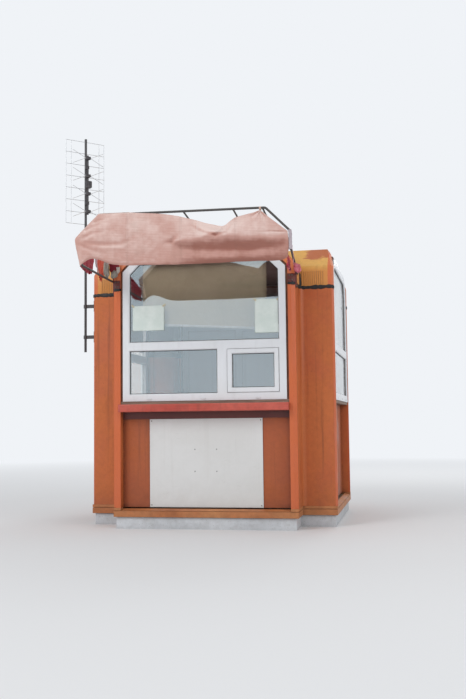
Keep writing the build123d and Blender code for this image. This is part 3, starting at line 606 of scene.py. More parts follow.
def ripples(first, second, shortest, longest, count, seed):
    """The mean of sine waves of random length, direction and phase over two coordinates."""
    chance = np.random.default_rng(seed)
    spans = (shortest, longest), (0, pi), (0, 2 * pi)
    lengths, turns, starts = (chance.uniform(*span, count) for span in spans)
    waves = zip(lengths, np.cos(turns), np.sin(turns), starts)
    total = sum(np.sin((first * a + second * b) * 2 * pi / length + start) for length, a, b, start in waves)
    return total / count


def crease(first, second, stations, width):
    """Depth of a crease that runs through stations of two coordinates and a depth: the
    depth at the nearest point of the line, times a bell curve of the distance from it."""
    deepest = np.zeros(np.shape(first))
    for start, end in zip(stations[:-1], stations[1:]):
        run = np.subtract(end, start)
        along = ((first - start[0]) * run[0] + (second - start[1]) * run[1]) / (run[0] ** 2 + run[1] ** 2)
        along = np.clip(along, 0, 1)
        gap = np.hypot(first - start[0] - along * run[0], second - start[1] - along * run[1])
        deepest = np.maximum(deepest, (start[2] + along * run[2]) * np.exp(-((gap / width) ** 2)))
    return deepest


# Its outline, as distance along the bar and height.
columns, rows = 300, 96
leg_low, leg_high = (-0.893, 2.338), (-0.726, 2.793)
far_low, far_high = (0.906, 2.352), (0.905, 2.570)
hem = curve_through(
    [leg_low, (-0.866, 2.360), (-0.836, 2.381), (-0.791, 2.399), (-0.741, 2.394), (-0.679, 2.371),
     (-0.617, 2.347), (-0.542, 2.335), (-0.3, 2.328), (0.038, 2.321), (0.244, 2.322), (0.45, 2.325),
     (0.639, 2.327), (0.80, 2.325), (0.866, 2.331), far_low], columns)
ridge = curve_through(
    [leg_high, (-0.60, 2.792), (-0.46, 2.790), (-0.40, 2.783), (-0.33, 2.777), (-0.185, 2.764),
     (-0.011, 2.733), (0.088, 2.706), (0.180, 2.690), (0.270, 2.671), (0.330, 2.656), (0.357, 2.650),
     (0.380, 2.661), (0.415, 2.683), (0.475, 2.706), (0.560, 2.726), (0.640, 2.744), (0.668, 2.754),
     (0.676, 2.757), (0.684, 2.752), (0.732, 2.710), (0.804, 2.651), (0.870, 2.598), far_high], columns)
leg_side = curve_through(
    [leg_low, (-0.918, 2.45), (-0.936, 2.54), (-0.938, 2.578), (-0.915, 2.606), (-0.83, 2.691),
     leg_high], rows)
far_side = curve_through([far_low, (0.912, 2.42), (0.912, 2.50), far_high], rows)
cloth = patch_between(hem, ridge, leg_side, far_side)
across, height = cloth[..., 0], cloth[..., 1]
v, u = shares(rows, columns)
hem_height = np.interp(across, hem[:, 0], hem[:, 1])
above_hem = height - hem_height
ridge_height = np.maximum(np.interp(across, ridge[:, 0], ridge[:, 1]), height)

# The long fold at the right, from its valley over its crest to the ridge, and the scoop.
fold_at = [-0.16, -0.05, 0.0, 0.16, 0.27, 0.38, 0.51, 0.64, 0.77, 0.93]
crest = np.interp(across, fold_at, [2.530, 2.510, 2.500, 2.521, 2.555, 2.547, 2.530, 2.521, 2.495, 2.500])
valley = np.interp(across, fold_at, [2.500, 2.470, 2.458, 2.439, 2.432, 2.430, 2.425, 2.421, 2.438, 2.455])
depth = np.interp(across, fold_at, [0, 0.014, 0.028, 0.050, 0.062, 0.066, 0.058, 0.048, 0.030, 0.006])
foot = hem_height + 0.35 * (valley - hem_height)
fold = depth * (
    0.05 + 0.20 * ease(height, hem_height, foot) - 0.70 * ease(height, foot, valley + 0.01)
    + 1.00 * ease(height, valley - 0.015, crest + 0.02) - 0.55 * ease(height, crest, ridge_height)
)
scoop = ease(across, 0.08, 0.24) * ease(across, 0.47, 0.37)
slack = scoop * ease(height, crest, ridge_height)
scoop_lean, scoop_drop = 0.008, 0.017

# Its creases, those pressed in as -1 and those that stand out as 1, with their widths.
tip = (-0.921, 2.543)
relief = np.zeros(across.shape)
for way, width, stations in (
    (-1, 0.024, [(-0.905, 2.542, 0.004), (-0.84, 2.530, 0.011), (-0.718, 2.513, 0.012),
                 (-0.526, 2.511, 0.009), (-0.430, 2.559, 0.002)]),
    (1, 0.020, [(*tip, 0.004), (-0.700, 2.490, 0.007), (-0.50, 2.478, 0.004)]),
    (-1, 0.020, [(-0.900, 2.566, 0.003), (-0.84, 2.590, 0.009), (-0.782, 2.611, 0.007),
                 (-0.600, 2.640, 0.001)]),
    (-1, 0.016, [(-0.840, 2.650, 0.008), (-0.686, 2.702, 0.003), (-0.55, 2.72, 0.0)]),
    (-1, 0.014, [(-0.760, 2.715, 0.006), (-0.620, 2.752, 0.001)]),
    (-1, 0.018, [(-0.905, 2.530, 0.003), (-0.851, 2.500, 0.009), (-0.762, 2.465, 0.006),
                 (-0.640, 2.425, 0.002)]),
    (-1, 0.021, [(-0.020, 2.570, 0.003), (-0.085, 2.512, 0.019), (-0.140, 2.500, 0.004)]),
    (1, 0.016, [(-0.050, 2.512, 0.008), (0.04, 2.530, 0.003)]),
    (1, 0.007, [(0.135, 2.600, 0.002), (0.135, 2.640, 0.007), (0.138, 2.690, 0.003)]),
    (-1, 0.009, [(0.66, 2.560, 0.001), (0.76, 2.566, 0.006), (0.93, 2.563, 0.007)]),
    (1, 0.020, [(0.357, 2.655, 0.016), (0.335, 2.610, 0.018), (0.30, 2.575, 0.012), (0.22, 2.560, 0.004)]),
    (-1, 0.022, [(0.44, 2.690, 0.006), (0.405, 2.630, 0.014), (0.385, 2.580, 0.010)]),
):
    relief += way * crease(across, height, stations, width)
lip = [(0.165, 2.664, 0.004), (0.25, 2.622, 0.012), (0.312, 2.592, 0.016), (0.345, 2.628, 0.010)]
lip = crease(across, height, lip, 0.019)
under_lip = [(0.10, 2.640, 0.003), (0.20, 2.588, 0.011), (0.30, 2.553, 0.016), (0.385, 2.580, 0.012),
             (0.42, 2.640, 0.004)]
under_lip = crease(across, height, under_lip, 0.018)
relief += 0.6 * lip - 0.8 * under_lip

# Gathers round the tied peak, waves in the cloth and along the hem, seams and the hem.
peak_across, peak_height = 0.676, 2.755
bearing = np.arctan2(height - peak_height, across - peak_across)
from_peak = np.hypot(across - peak_across, height - peak_height)
relief += 0.006 * np.cos(9 * bearing) * ease(from_peak, 0.16, 0.02) * ease(from_peak, 0.0, 0.015)
relief += 0.0030 * ripples(across, height, 0.10, 0.34, 9, 3)
relief += 0.0014 * ripples(across, height * 2.5, 0.05, 0.12, 9, 5)
relief += 0.0016 * ripples(across, height, 0.03, 0.06, 8, 8) * ease(above_hem, 0.12, 0)
scallops = np.sin(across * 2 * pi / 0.21 + 1.2 * np.sin(across * 5))
relief += 0.0035 * scallops * ease(above_hem, 0.2, 0) * ease(u, 0.1, 0.25)
relief -= 0.007 * ease(above_hem, 0.018, 0)
seams = (-0.47, 0.0, 0.47)
for seam in seams:
    relief += 0.0012 * np.exp(-(((across - seam) / 0.012) ** 2))
relief += 0.0014 * ease(above_hem, 0.032, 0.028)
tube_face = 0.0155
free = ease(u, 0, 0.03) * ease(u, 1, 0.965) * np.maximum(ease(v, 1, 0.93), ease(across, -0.36, -0.28))
out = tube_face + 0.020 * np.sin(pi * v) * ease(u, 0, 0.12) * ease(u, 1, 0.9)
out += free * (fold - scoop_lean * slack + relief)
out -= tube_face * ease(u, 0.005, 0.0)
out -= 0.0150 * ease(v, 0.972, 1.0) * ease(across, -0.40, -0.50) * ease(u, 0.0, 0.005)

# How far each place is bleached, with painted light and shade in the same mark: lighter
# where it faces up, on the lip and in the scoop, darker where it faces down, in the creases,
# under the lip, low at the right and along the hem.
slope = np.gradient(out, axis=0) / np.gradient(height, axis=0)
bleach_and_shade = 0.665 + 0.01 * ease(height, 2.45, 2.72) - 0.50 * ease(across, -0.30, 0.30) * ease(height, 2.56, 2.45)
bleach_and_shade += 0.30 * np.clip(-slope, 0, 0.8) - 0.34 * np.clip(slope, 0, 0.8)
bleach_and_shade += 0.05 * ripples(across, height, 0.12, 0.5, 8, 12)
bleach_and_shade -= 0.03 * ease(above_hem, 0.055, 0.01) * ease(across, -0.62, -0.4)
for crease_shade, stations in (
    (9.0, [(*tip, 0.012), (-0.718, 2.513, 0.016), (-0.526, 2.511, 0.010), (-0.430, 2.559, 0.003)]),
    (12.0, [(-0.034, 2.561, 0.006), (-0.085, 2.509, 0.022), (-0.124, 2.502, 0.006)]),
):
    bleach_and_shade -= crease_shade * crease(across, height, stations, 0.022)
bleach_and_shade += 18.0 * lip - 26.0 * under_lip + 0.30 * scoop * ease(height, crest, crest + 0.05)

weave, given, gives = effect("canvas weave", {"Pitch": 0.0015}, {"Height": "Float"})
along, up_cloth, _ = axes(put("TexCoord", tree=weave).outputs["UV"])
turns = reckon("DIVIDE", pi, given["Pitch"])
warp, weft = reckon("SINE", along * turns), reckon("SINE", up_cloth * turns)
warp_on_top = reckon("GREATER_THAN", warp * weft, 0.0)
feed(gives, Height=abs(warp) * warp_on_top + abs(weft) * (1.0 - warp_on_top))

stitches, given, gives = effect("stitches", {"Across": 0.0, "Along": 0.0, "Line": 0.03}, {"Mask": "Float"})
stitch_length, stitch_share, thread_half = 0.0055, 0.62, 0.0009
dash = reckon("FRACT", reckon("DIVIDE", given["Along"], stitch_length))
dash = reckon("LESS_THAN", dash, stitch_share)
feed(gives, Mask=reckon("LESS_THAN", abs(given["Across"] - given["Line"]), thread_half) * dash)


def canvas(name, deep, middle, pale, dirt, spots=0.5, stitched=False):
    """Coated canvas whose colour runs from deep to pale with the mark bleach_and_shade, which
    holds bleaching and painted light and shade, broken up by worn threads, water stains and
    specks of mould, and sewn along its hem and seams."""
    deep, middle, pale, dirt = (paint(*colour) for colour in (deep, middle, pale, dirt))
    look, tree, shader = material(name, Sheen_Weight=0.12, Sheen_Roughness=0.5, Specular_IOR_Level=0.25)
    here = position(tree, turn=(0.5, 0.7, 0.4))
    # The mark holds painted light and shade of the folds and creases besides the real bleaching.
    bleached_and_shaded = Field(put("Attribute", tree=tree, attribute_name="bleach_and_shade").outputs["Fac"])
    bleached_and_shaded += spread(clouds(here, 7, 4, 0.6), 0.25, 0.75, -0.11, 0.11)
    bleached_and_shaded += spread(clouds(position(tree, (26, 26, 3)), 1.0, 3, 0.5), 0.3, 0.7, -0.025, 0.025)
    tone = blend(spread(bleached_and_shaded, 0.0, 0.5), deep, middle)
    tone = blend(spread(bleached_and_shaded, 0.45, 1.0), tone, pale)
    tone = blend(spread(clouds(here, 4.5, 5, 0.62, 0.6), 0.52, 0.72, 0, 0.28 * spots), tone, dirt)
    tone = blend(spread(clouds(here, 90, 2, 0.6), 0.66, 0.76, 0, 0.45 * spots), tone, dirt)
    threads = use(tree, weave, Pitch=0.0016)["Height"]
    tone = blend(1.0, tone, grey(spread(threads, 0.0, 0.7, 0.98, 1.005)), "MULTIPLY")
    relief = clouds(here, 20, 4, 0.55, 0.5) * 7.0 + threads * 0.03
    if stitched:
        along, up_cloth, _ = axes(put("TexCoord", tree=tree).outputs["UV"])
        thread = use(tree, stitches, Across=up_cloth, Along=along, Line=0.029)["Mask"]
        for line in (1 + seam + edge for seam in seams for edge in (-0.006, 0.006)):
            thread = highest(thread, use(tree, stitches, Across=along, Along=up_cloth, Line=line)["Mask"])
        tone = blend(thread * 0.35, tone, dirt)
        relief = relief - thread * 2.0
    feed(shader, Base_Color=tone, Roughness=spread(bleached_and_shaded, 0.0, 1.0, 0.68, 0.86))
    bumped(shader, relief, 0.0005)
    return look


def attach(piece, look, thickness=0.0):
    """Gives a piece its material and slot, and thickens a sheet inwards."""
    piece.data.materials.append(look)
    if thickness:
        shell = piece.modifiers.new("thickness", "SOLIDIFY")
        shell.thickness = thickness
        shell.offset = -1
    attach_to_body(piece, "root")
    return piece


def cloth_piece(name, points, look, bleach_and_shade, thickness, inner_look=None, uv=None):
    """A sheet from a grid whose rows run up and whose columns run to the right as seen from
    outside. Its UV map is its flat size in metres, and its inner side can differ."""
    rows, columns = points.shape[:2]
    if uv is None:
        wide, tall = (np.linalg.norm(points[end] - points[0, 0]) for end in ((0, -1), (-1, 0)))
        uv = np.stack(np.meshgrid(np.linspace(0, wide, columns), np.linspace(0, tall, rows)), -1)
    piece = new_object(name, points, grid_faces(rows, columns)[:, ::-1], uv)
    piece.data.materials.append(look)
    mark = np.broadcast_to(bleach_and_shade, (rows, columns)).astype(np.float32)
    piece.data.attributes.new("bleach_and_shade", "FLOAT", "POINT").data.foreach_set("value", mark.ravel())
    attach(piece, inner_look or look, thickness)
    piece.modifiers["thickness"].material_offset = 1
    return piece


def flat_area(points):
    """The area of a grid: the sum of half the cross products of each quad's diagonals."""
    first = points[1:, 1:] - points[:-1, :-1]
    second = points[1:, :-1] - points[:-1, 1:]
    return float(np.linalg.norm(np.cross(first, second), axis=-1).sum() / 2)


bleached_canvas = canvas("bleached canopy canvas", (158, 106, 93), (194, 150, 139), (224, 200, 192),
                         (136, 108, 90), stitched=True)
inner_canvas = canvas("inner canopy canvas", (70, 44, 40), (102, 70, 64), (132, 100, 94), (60, 44, 36), 0.8)
canopy_points = on_hoop(across, height - scoop_drop * slack, out)
canopy = cloth_piece("canopy_sheet", canopy_points, bleached_canvas, bleach_and_shade, 0.0014, inner_look=inner_canvas,
                     uv=np.stack([across + 1, above_hem], -1))
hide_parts("canopy_cloth")


# Canopy edging: the sleeve of paler tape that holds the sheet to the left leg and bar, a
# strip wound round the right leg, and the knotted strip at the peak.
def right_of(path):
    """Unit vectors to the right of a flat path: its own direction, turned by a quarter."""
    runs = np.gradient(path, axis=0)
    runs /= np.linalg.norm(runs, axis=1)[:, None]
    return np.stack([runs[:, 1], -runs[:, 0]], -1)


def carried(path, profile, size):
    """A profile carried along a path in the hoop's plane: each point is the path's, plus the
    profile's first number times the unit vector to the right of the path, plus its second
    number out of the plane, both times a size that varies over the grid."""
    spots = path[:, None] + right_of(path)[:, None] * (profile[:, 0] * size)[..., None]
    return on_hoop(spots[..., 0], spots[..., 1], profile[:, 1] * size)


def run_length(points):
    """The length of a grid's middle line, from its first row to its last."""
    return float(np.linalg.norm(np.diff(points.mean(1), axis=0), axis=1).sum())


tube_radius = 0.0125
bend = np.linspace(0, pi, 13)
sleeve_profile = np.concatenate([
    tube_radius * np.stack([-np.sin(bend), np.cos(bend)], -1)[3:],
    [(0.010, -0.0135), (0.021, -0.0134), (0.032, -0.0150)],
])
sleeve_path = curve_through(
    [(-0.884, 2.372), (-0.900, 2.46), (-0.919, 2.548), (-0.924, 2.571), (-0.917, 2.583), (-0.906, 2.594),
     (-0.82, 2.680), (-0.740, 2.760), (-0.728, 2.772), (-0.712, 2.779), (-0.690, 2.780), (-0.55, 2.780),
     (-0.455, 2.780)], 220)
along_path, round_path = shares(len(sleeve_path), len(sleeve_profile))
round_path = round_path * 0.09
puckers = 0.06 * ripples(along_path, round_path * 0.4, 0.012, 0.05, 9, 21)
tape = canvas("beige edging tape", (168, 136, 120), (196, 166, 150), (216, 196, 184), (126, 104, 86), 0.7)
sleeve_points = carried(sleeve_path, sleeve_profile, 1.05 + puckers)
sleeve = cloth_piece("canopy_sleeve", sleeve_points.transpose(1, 0, 2), tape,
                     0.6 + 0.3 * ripples(along_path.T, round_path.T, 0.05, 0.3, 6, 4), 0.0009)

turn_rows, turns_wound, wrap_radius = 22, 5, 0.0135
wrap_angles = np.linspace(0, 2 * pi, 25)
wrap_path = curve_through([(0.925, 2.418), (0.9255, 2.46), (0.925, 2.52), (0.924, 2.566), (0.919, 2.583)],
                          turn_rows * turns_wound)
overlap = np.arange(len(wrap_path)) % turn_rows / turn_rows
wound = wrap_radius + 0.0022 * overlap[:, None] + 0.0008 * np.sin(5 * wrap_angles)
wrap_points = carried(wrap_path, np.stack([np.sin(wrap_angles), np.cos(wrap_angles)], -1), wound)
grey_tape = canvas("grey pink edging tape", (150, 136, 142), (178, 166, 172), (200, 190, 194),
                   (120, 106, 108), 0.6)
wrap = cloth_piece("canopy_leg_wrap", wrap_points, grey_tape, 0.55, 0.0008)

strap_length = 0.11
loop_angles = np.linspace(0.15, 2 * pi - 0.15, 40)[:, None]
loop_across = peak_across + np.linspace(-0.009, 0.009, 6) * (1 + 0.2 * np.cos(loop_angles))
loop_height = 2.776 + 0.0215 * np.cos(loop_angles) * np.where(np.cos(loop_angles) > 0, 0.62, 1.0)
loop_points = on_hoop(loop_across, loop_height, 0.0135 * np.sin(loop_angles))
loop = cloth_piece("canopy_peak_strap", loop_points, tape, 0.3, 0.0009)
for piece, points, held, length in (
    (sleeve, sleeve_points, "stretched", run_length(sleeve_points)),
    (wrap, wrap_points, "stretched", run_length(wrap_points)),
    (loop, loop_points, "hung", strap_length),
):
    flat_area(points) / length
flat_area(canopy_points)


# Torn flaps: what is left of the side pieces, hanging from the two arms in strips that
# have kept more of their red where the sun does not reach. Their pleats are lighter on
# one side and darker on the other, as painted light and shade.
arm_height = 2.345


def beside_arm(side, back, height, out):
    """Points on the plane of one arm: back along it from the hoop, up, and out from it."""
    front = on_hoop(-0.878 if side < 0 else 0.925, arm_height, 0.0)
    run = np.array([side * 0.8956, -1.17, arm_height]) - front
    run /= np.linalg.norm(run)
    away = side * np.array([run[1], -run[0], 0.0])
    spots = front + run * back[..., None] + away * out[..., None]
    return spots + np.array([0, 0, 1.0]) * (height - arm_height)[..., None]


def straight_through(stations, count):
    """Points on the straight lines between stations, as many between any two of them."""
    share, ends = np.linspace(0, 1, count), np.linspace(0, 1, len(stations))
    return np.stack([np.interp(share, ends, column) for column in np.transpose(stations)], -1)


def hang(points, width):
    """Works out a hanging sheet's area over its flat width, and keeps nothing of it."""
    flat_area(points) / width


def rag(name, side, lower, upper, look, fade, seed, belly=0.010, pleats=0.004, tear=0.004, size=(70, 40),
        face=1):
    """A torn strip between a lower and an upper edge given as distance back and height: it
    bellies out by a sine, is pleated by random waves, and frays along its lower edge. Face
    is -1 for one that hangs on the inner side of its arm."""
    low, high = straight_through(lower, size[0]), straight_through(upper, size[0])
    low[:, 1] += tear * ripples(low[:, 0], 0, 0.012, 0.05, 9, seed) * 2
    low[:, 0] += tear * ripples(low[:, 0], 1, 0.012, 0.05, 9, seed + 1)
    v = np.linspace(0, 1, size[1])[:, None]
    back, up = ((1 - v) * low[:, k] + v * high[:, k] for k in (0, 1))
    wave = pleats * 2.2 * ripples(back, up * 0.35, 0.025, 0.09, 9, seed + 2) * (1.15 - v)
    wave += pleats * 0.9 * ripples(back, up, 0.012, 0.035, 11, seed + 5)
    out = tube_radius + 0.0020 + pleats + belly * np.sin(pi * (0.15 + 0.8 * v)) + wave
    points = beside_arm(side, back, up, face * np.maximum(out, tube_radius))
    # Painted light and shade: the tone follows the pleats' slope, over random patches.
    fold_shade = np.gradient(out, axis=1)
    patches = 0.4 * ripples(back, up, 0.03, 0.14, 8, seed + 3) + 0.5 * fold_shade / np.abs(fold_shade).max()
    order = slice(None, None, side * face)
    piece = cloth_piece(name, points[:, order], look, fade + patches[:, order], 0.0012)
    hang(points, np.ptp(back))
    return piece


red_canvas = canvas("deep red canvas", (120, 26, 40), (186, 44, 62), (206, 84, 92), (84, 62, 44), 0.9)
orange_canvas = canvas("rust red canvas", (180, 50, 30), (226, 86, 58), (236, 130, 100), (120, 70, 48), 0.6)
grey_canvas = canvas("grey beige canvas", (112, 104, 92), (150, 144, 134), (190, 184, 176), (92, 84, 70), 0.9)
pink_canvas = canvas("crumpled pink canvas", (150, 30, 46), (200, 96, 112), (222, 164, 170), (110, 60, 60),
                     0.7)
red_lobe = rag(
    "left_flap_red", -1,
    [(0.02, 2.338), (0.12, 2.326), (0.22, 2.314), (0.30, 2.318), (0.375, 2.338), (0.392, 2.40), (0.43, 2.486),
     (0.60, 2.500), (0.76, 2.500), (0.90, 2.505)],
    [(0.02, 2.450), (0.10, 2.470), (0.19, 2.490), (0.28, 2.510), (0.36, 2.525), (0.41, 2.535), (0.46, 2.540),
     (0.60, 2.548), (0.76, 2.552), (0.90, 2.556)],
    red_canvas, 0.5, 31, size=(150, 50))
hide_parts("canopy_left_flap")
rag("left_flap_strap", -1, [(0.528, 2.372), (0.539, 2.366), (0.552, 2.372)],
    [(0.386, 2.520), (0.398, 2.522), (0.414, 2.521)], grey_canvas, 1.3, 35, 0.004, 0.001, 0.001, (14, 50))
rag("left_flap_strip", -1, [(0.470, 2.420), (0.500, 2.404), (0.535, 2.398)],
    [(0.430, 2.518), (0.470, 2.520), (0.520, 2.520)], pink_canvas, 0.9, 37, 0.006, 0.003, 0.003, (26, 40))
rag("left_flap_orange", -1,
    [(0.530, 2.388), (0.548, 2.352), (0.590, 2.318), (0.622, 2.300), (0.665, 2.318), (0.722, 2.362)],
    [(0.520, 2.520), (0.56, 2.522), (0.60, 2.524), (0.64, 2.524), (0.69, 2.524), (0.730, 2.522)],
    orange_canvas, 0.5, 41)
rag("left_flap_grey", -1, [(0.728, 2.392), (0.770, 2.360), (0.810, 2.352), (0.860, 2.372), (0.905, 2.410)],
    [(0.722, 2.522), (0.76, 2.524), (0.81, 2.525), (0.86, 2.526), (0.905, 2.530)], grey_canvas, 0.7, 45)
right_rag = rag(
    "right_flap_pink", 1,
    [(0.075, 2.292), (0.11, 2.274), (0.17, 2.263), (0.24, 2.264), (0.33, 2.280), (0.45, 2.296), (0.57, 2.308),
     (0.72, 2.335), (0.88, 2.380)],
    [(0.070, 2.314), (0.12, 2.326), (0.18, 2.334), (0.27, 2.346), (0.36, 2.360), (0.47, 2.378), (0.58, 2.392),
     (0.72, 2.414), (0.88, 2.442)],
    pink_canvas, 0.26, 51, 0.003, 0.009, 0.007, (170, 60))
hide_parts("canopy_right_flap")
rag("right_flap_tail", 1, [(0.070, 2.312), (0.080, 2.296), (0.096, 2.306)],
    [(0.0, 2.452), (0.012, 2.456), (0.024, 2.450)], pink_canvas, 0.8, 57, 0.004, 0.002, 0.003, (16, 50))
rag("right_flap_corner", 1, [(-0.012, 2.296), (0.010, 2.262), (0.040, 2.274), (0.062, 2.258), (0.10, 2.290)],
    [(-0.012, 2.392), (0.012, 2.396), (0.040, 2.390), (0.070, 2.384), (0.10, 2.376)],
    red_canvas, 0.45, 61, 0.004, 0.009, 0.006, (50, 50), -1)
rag("right_flap_shred", 1, [(0.12, 2.300), (0.15, 2.268), (0.19, 2.276), (0.24, 2.262), (0.30, 2.296)],
    [(0.12, 2.372), (0.16, 2.376), (0.20, 2.370), (0.25, 2.372), (0.30, 2.366)],
    pink_canvas, 0.4, 65, 0.004, 0.009, 0.006, (60, 50), -1)


# Scraps: three small rags of the same canvas, caught on the left bracket and hanging over
# the top of the front post. Each is a lower and an upper edge as place across and height.
post_face, scrap_gap = -1.2085, 0.001
for name, lower, upper, look, fade, seed, lift in (
    ("post_scrap_dark", [(-0.908, 2.446), (-0.885, 2.424), (-0.862, 2.446), (-0.836, 2.438), (-0.812, 2.454)],
     [(-0.908, 2.510), (-0.805, 2.512)], red_canvas, -0.3, 71, 0.016),
    ("post_scrap_beige", [(-0.896, 2.378), (-0.875, 2.362), (-0.850, 2.376), (-0.826, 2.384)],
     [(-0.893, 2.446), (-0.822, 2.450)], grey_canvas, 0.6, 74, 0.008),
    ("post_scrap_pale", [(-0.832, 2.432), (-0.822, 2.408), (-0.812, 2.416), (-0.800, 2.436)],
     [(-0.836, 2.472), (-0.800, 2.474)], grey_canvas, 1.1, 77, 0.021),
):
    low, high = straight_through(lower, 40), straight_through(upper, 40)
    low[:, 1] += 0.006 * ripples(low[:, 0], 0, 0.008, 0.03, 9, seed)
    v = np.linspace(0, 1, 36)[:, None]
    x, z = ((1 - v) * low[:, k] + v * high[:, k] for k in (0, 1))
    pleats = 0.010 * ripples(x, z * 0.4, 0.02, 0.07, 9, seed + 1) * (1.1 - v)
    y = post_face - scrap_gap - lift - pleats - 0.003 * ripples(x, z, 0.01, 0.03, 9, seed + 2)
    points = np.stack([x, np.minimum(y, post_face), z], -1)
    patches = 0.5 * ripples(x, z, 0.02, 0.09, 8, seed)
    scrap = cloth_piece(name, points, look, fade + patches, 0.0011)
    hang(points, float(np.ptp(x)))


# Roller blinds: ribbed beige cloth on white rollers, let down behind the upper panes. The
# front one hangs crooked. A flat bar in the lower hem keeps each of them straight.
blind_depth, blind_half, blind_top, rib = 1.1224, 0.600, 2.504, 0.011


def behind_pane(quarter, across, height):
    """A place on the plane of a blind: in front at 0, at the right at 1, at the left at -1."""
    if quarter == 0:
        return across, -blind_depth, height
    return quarter * blind_depth, quarter * across, height


def blind_cloth(name, quarter, low_left, low_right):
    """A ribbed sheet from its two lower corners up to its roller: the bilinear patch, moved
    by a fine sine down it and by one slow wave. Its tone is paler on the crests of the sine
    and deeper between them, as painted light and shade."""
    corners = [(-1, low_left), (1, low_right), (-1, blind_top), (1, blind_top)]
    corners = np.array([behind_pane(quarter, end * blind_half, height) for end, height in corners])
    v, u = (share[..., None] for share in shares(221, 25))
    points = (1 - v) * ((1 - u) * corners[0] + u * corners[1]) + v * ((1 - u) * corners[2] + u * corners[3])
    side_run = (corners[1] - corners[0]) * (1, 1, 0)
    width = float(np.linalg.norm(side_run))
    away = np.cross(side_run / width, (0, 0, 1))
    ribs = np.sin((points[..., 2:] - points[-1:, :, 2:]) * 2 * pi / rib)
    points = points + away * (0.0006 * ribs + 0.0008 * np.sin(u * 9 + v * 2) * (1 - v))
    # Painted light and shade: the rib sine also makes the crests paler and the troughs deeper.
    piece = cloth_piece(name, points, blind_look, 0.5 + 0.2 * ribs[..., 0], 0.0005)
    hang(points, width)
    return piece


blind_look = canvas("beige blind cloth", (148, 138, 114), (172, 162, 138), (190, 181, 160), (132, 120, 96),
                    0.25)
blinds = {"front": (0, 1.928, 1.853), "right": (1, 1.800, 1.800), "left": (-1, 1.800, 1.800)}
for name, hung in blinds.items():
    blind = blind_cloth(f"blind_{name}", *hung)
    if name == "front":
        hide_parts("window_blind")


# Aerial: a dark oxidised mast tube in painted clamps, moulded plastic blocks along the
# boom, and thin bare aluminium rods pushed through them.
dress(weathered_steel("dark mast paint", paint(64, 62, 64), 0.35), "aerial_mast", "mast_clamps")
block_look, tree, shader = material("dark aerial plastic", Roughness=0.55)
dusty = spread(clouds(position(tree), 40, 4, 0.6), 0.35, 0.7)
feed(shader, Base_Color=blend(dusty, paint(44, 42, 48), paint(78, 74, 76)))
bumped(shader, clouds(position(tree), 160, 3, 0.6), 0.0005)
dress(block_look, "aerial_boom")
rod_look = dull_metal("bare aerial rods", 0.8, paint(170, 172, 176), paint(206, 208, 210),
                      (1, 1, 1), 70, 4, 0.6, 0.4, 0.65)
dress(rod_look, "aerial_whiskers", "aerial_reflector")


# Glazing rubbers: a lip of the same black rubber as the seal, pressed in round every pane
# between glass and frame, and mitred at the corners.
side_face, upper_panes = 1.1, 1.7


def pane_outlines(node):
    """The corners of each pane's face in order round its middle, from the outermost points
    of the pane's solid, with the direction that the face looks in."""
    mesh = nodes[node].data
    points = np.zeros(len(mesh.vertices) * 3)
    mesh.vertices.foreach_get("co", points)
    points = np.unique(points.reshape(-1, 3).round(5), axis=0)
    axis = 0 if np.abs(points[:, 0]).min() > side_face else 1
    side = np.sign(points[0, axis])
    points = points[points[:, axis] * side > (points[:, axis] * side).max() - 0.001]
    handed = side if axis == 0 else -side
    found = []
    for above in (True, False):
        corners = points[(points[:, 2] > upper_panes) == above]
        if len(corners):
            off = corners - corners.mean(0)
            found.append(corners[np.argsort(np.arctan2(off[:, 2], off[:, 1 - axis] * handed))])
    away = np.zeros(3)
    away[axis] = side
    return found, away


def lip_round(name, corners, away, profile):
    """A profile mitred round a closed outline: each corner is moved inwards along the sum of
    the two edges' inward directions over one plus their product, and out from the face."""
    edges = np.roll(corners, -1, axis=0) - corners
    inward = np.cross(np.broadcast_to(away, edges.shape), edges)
    inward /= np.linalg.norm(inward, axis=1)[:, None]
    before = np.roll(inward, 1, axis=0)
    mitre = (inward + before) / (1 + (inward * before).sum(1))[:, None]
    points = corners[:, None] + mitre[:, None] * profile[None, :, :1] + away * profile[None, :, 1:]
    faces = grid_faces(len(corners), len(profile), close_rows=True, close_columns=True)
    attach(new_object(name, points, faces, smooth=False), seal_look)


lip_profile = np.array([(0.0002, -0.0006), (0.0002, 0.0026), (0.0014, 0.0036), (0.0034, 0.0034),
                        (0.0052, 0.0016), (0.0056, 0.0002)])
panes = ("front_upper_glass", "front_lower_glass", "hatch_glass", "right_window_glass", "left_window_glass")
for node in panes:
    outlines, away = pane_outlines(node)
    for number, corners in enumerate(outlines):
        lip_round(f"rubber_{node}_{number}", corners, away, lip_profile)


# Fixings: domed screws in the corners of the board, grey plugs in its four holes, bolt
# heads on the awning brackets and strut feet, and the lock below the door handle.
def heads(name, places, away, radius, rise, sides, look):
    """Round or hexagonal heads: four rings and a cap, each ring the unit circle of that many
    sides times its radius, lifted along the direction that the face looks in."""
    away = np.array(away, float)
    across = np.cross(away, (0, 0, 1)) if abs(away[2]) < 0.9 else np.array([1.0, 0, 0])
    turns = np.linspace(0, 2 * pi, sides, endpoint=False)
    circle = np.cos(turns)[:, None] * across + np.sin(turns)[:, None] * np.cross(away, across)
    rings = np.array([(1.0, -0.05), (1.0, 0.45), (0.86, 0.85), (0.55, 1.0)])
    head = circle[None] * (rings[:, :1] * radius)[:, None] + away * (rings[:, 1:] * rise)[:, None]
    points = np.array(places)[:, None, None] + head[None]
    starts = len(rings) * sides * np.arange(len(places))
    faces = grid_faces(len(rings), sides, close_columns=True)[:, ::-1]
    faces = np.concatenate([faces + start for start in starts])
    caps = (starts[:, None] + (len(rings) - 1) * sides + np.arange(sides)).tolist()
    attach(new_object(name, points, faces, smooth=sides > 8, caps=caps), look)


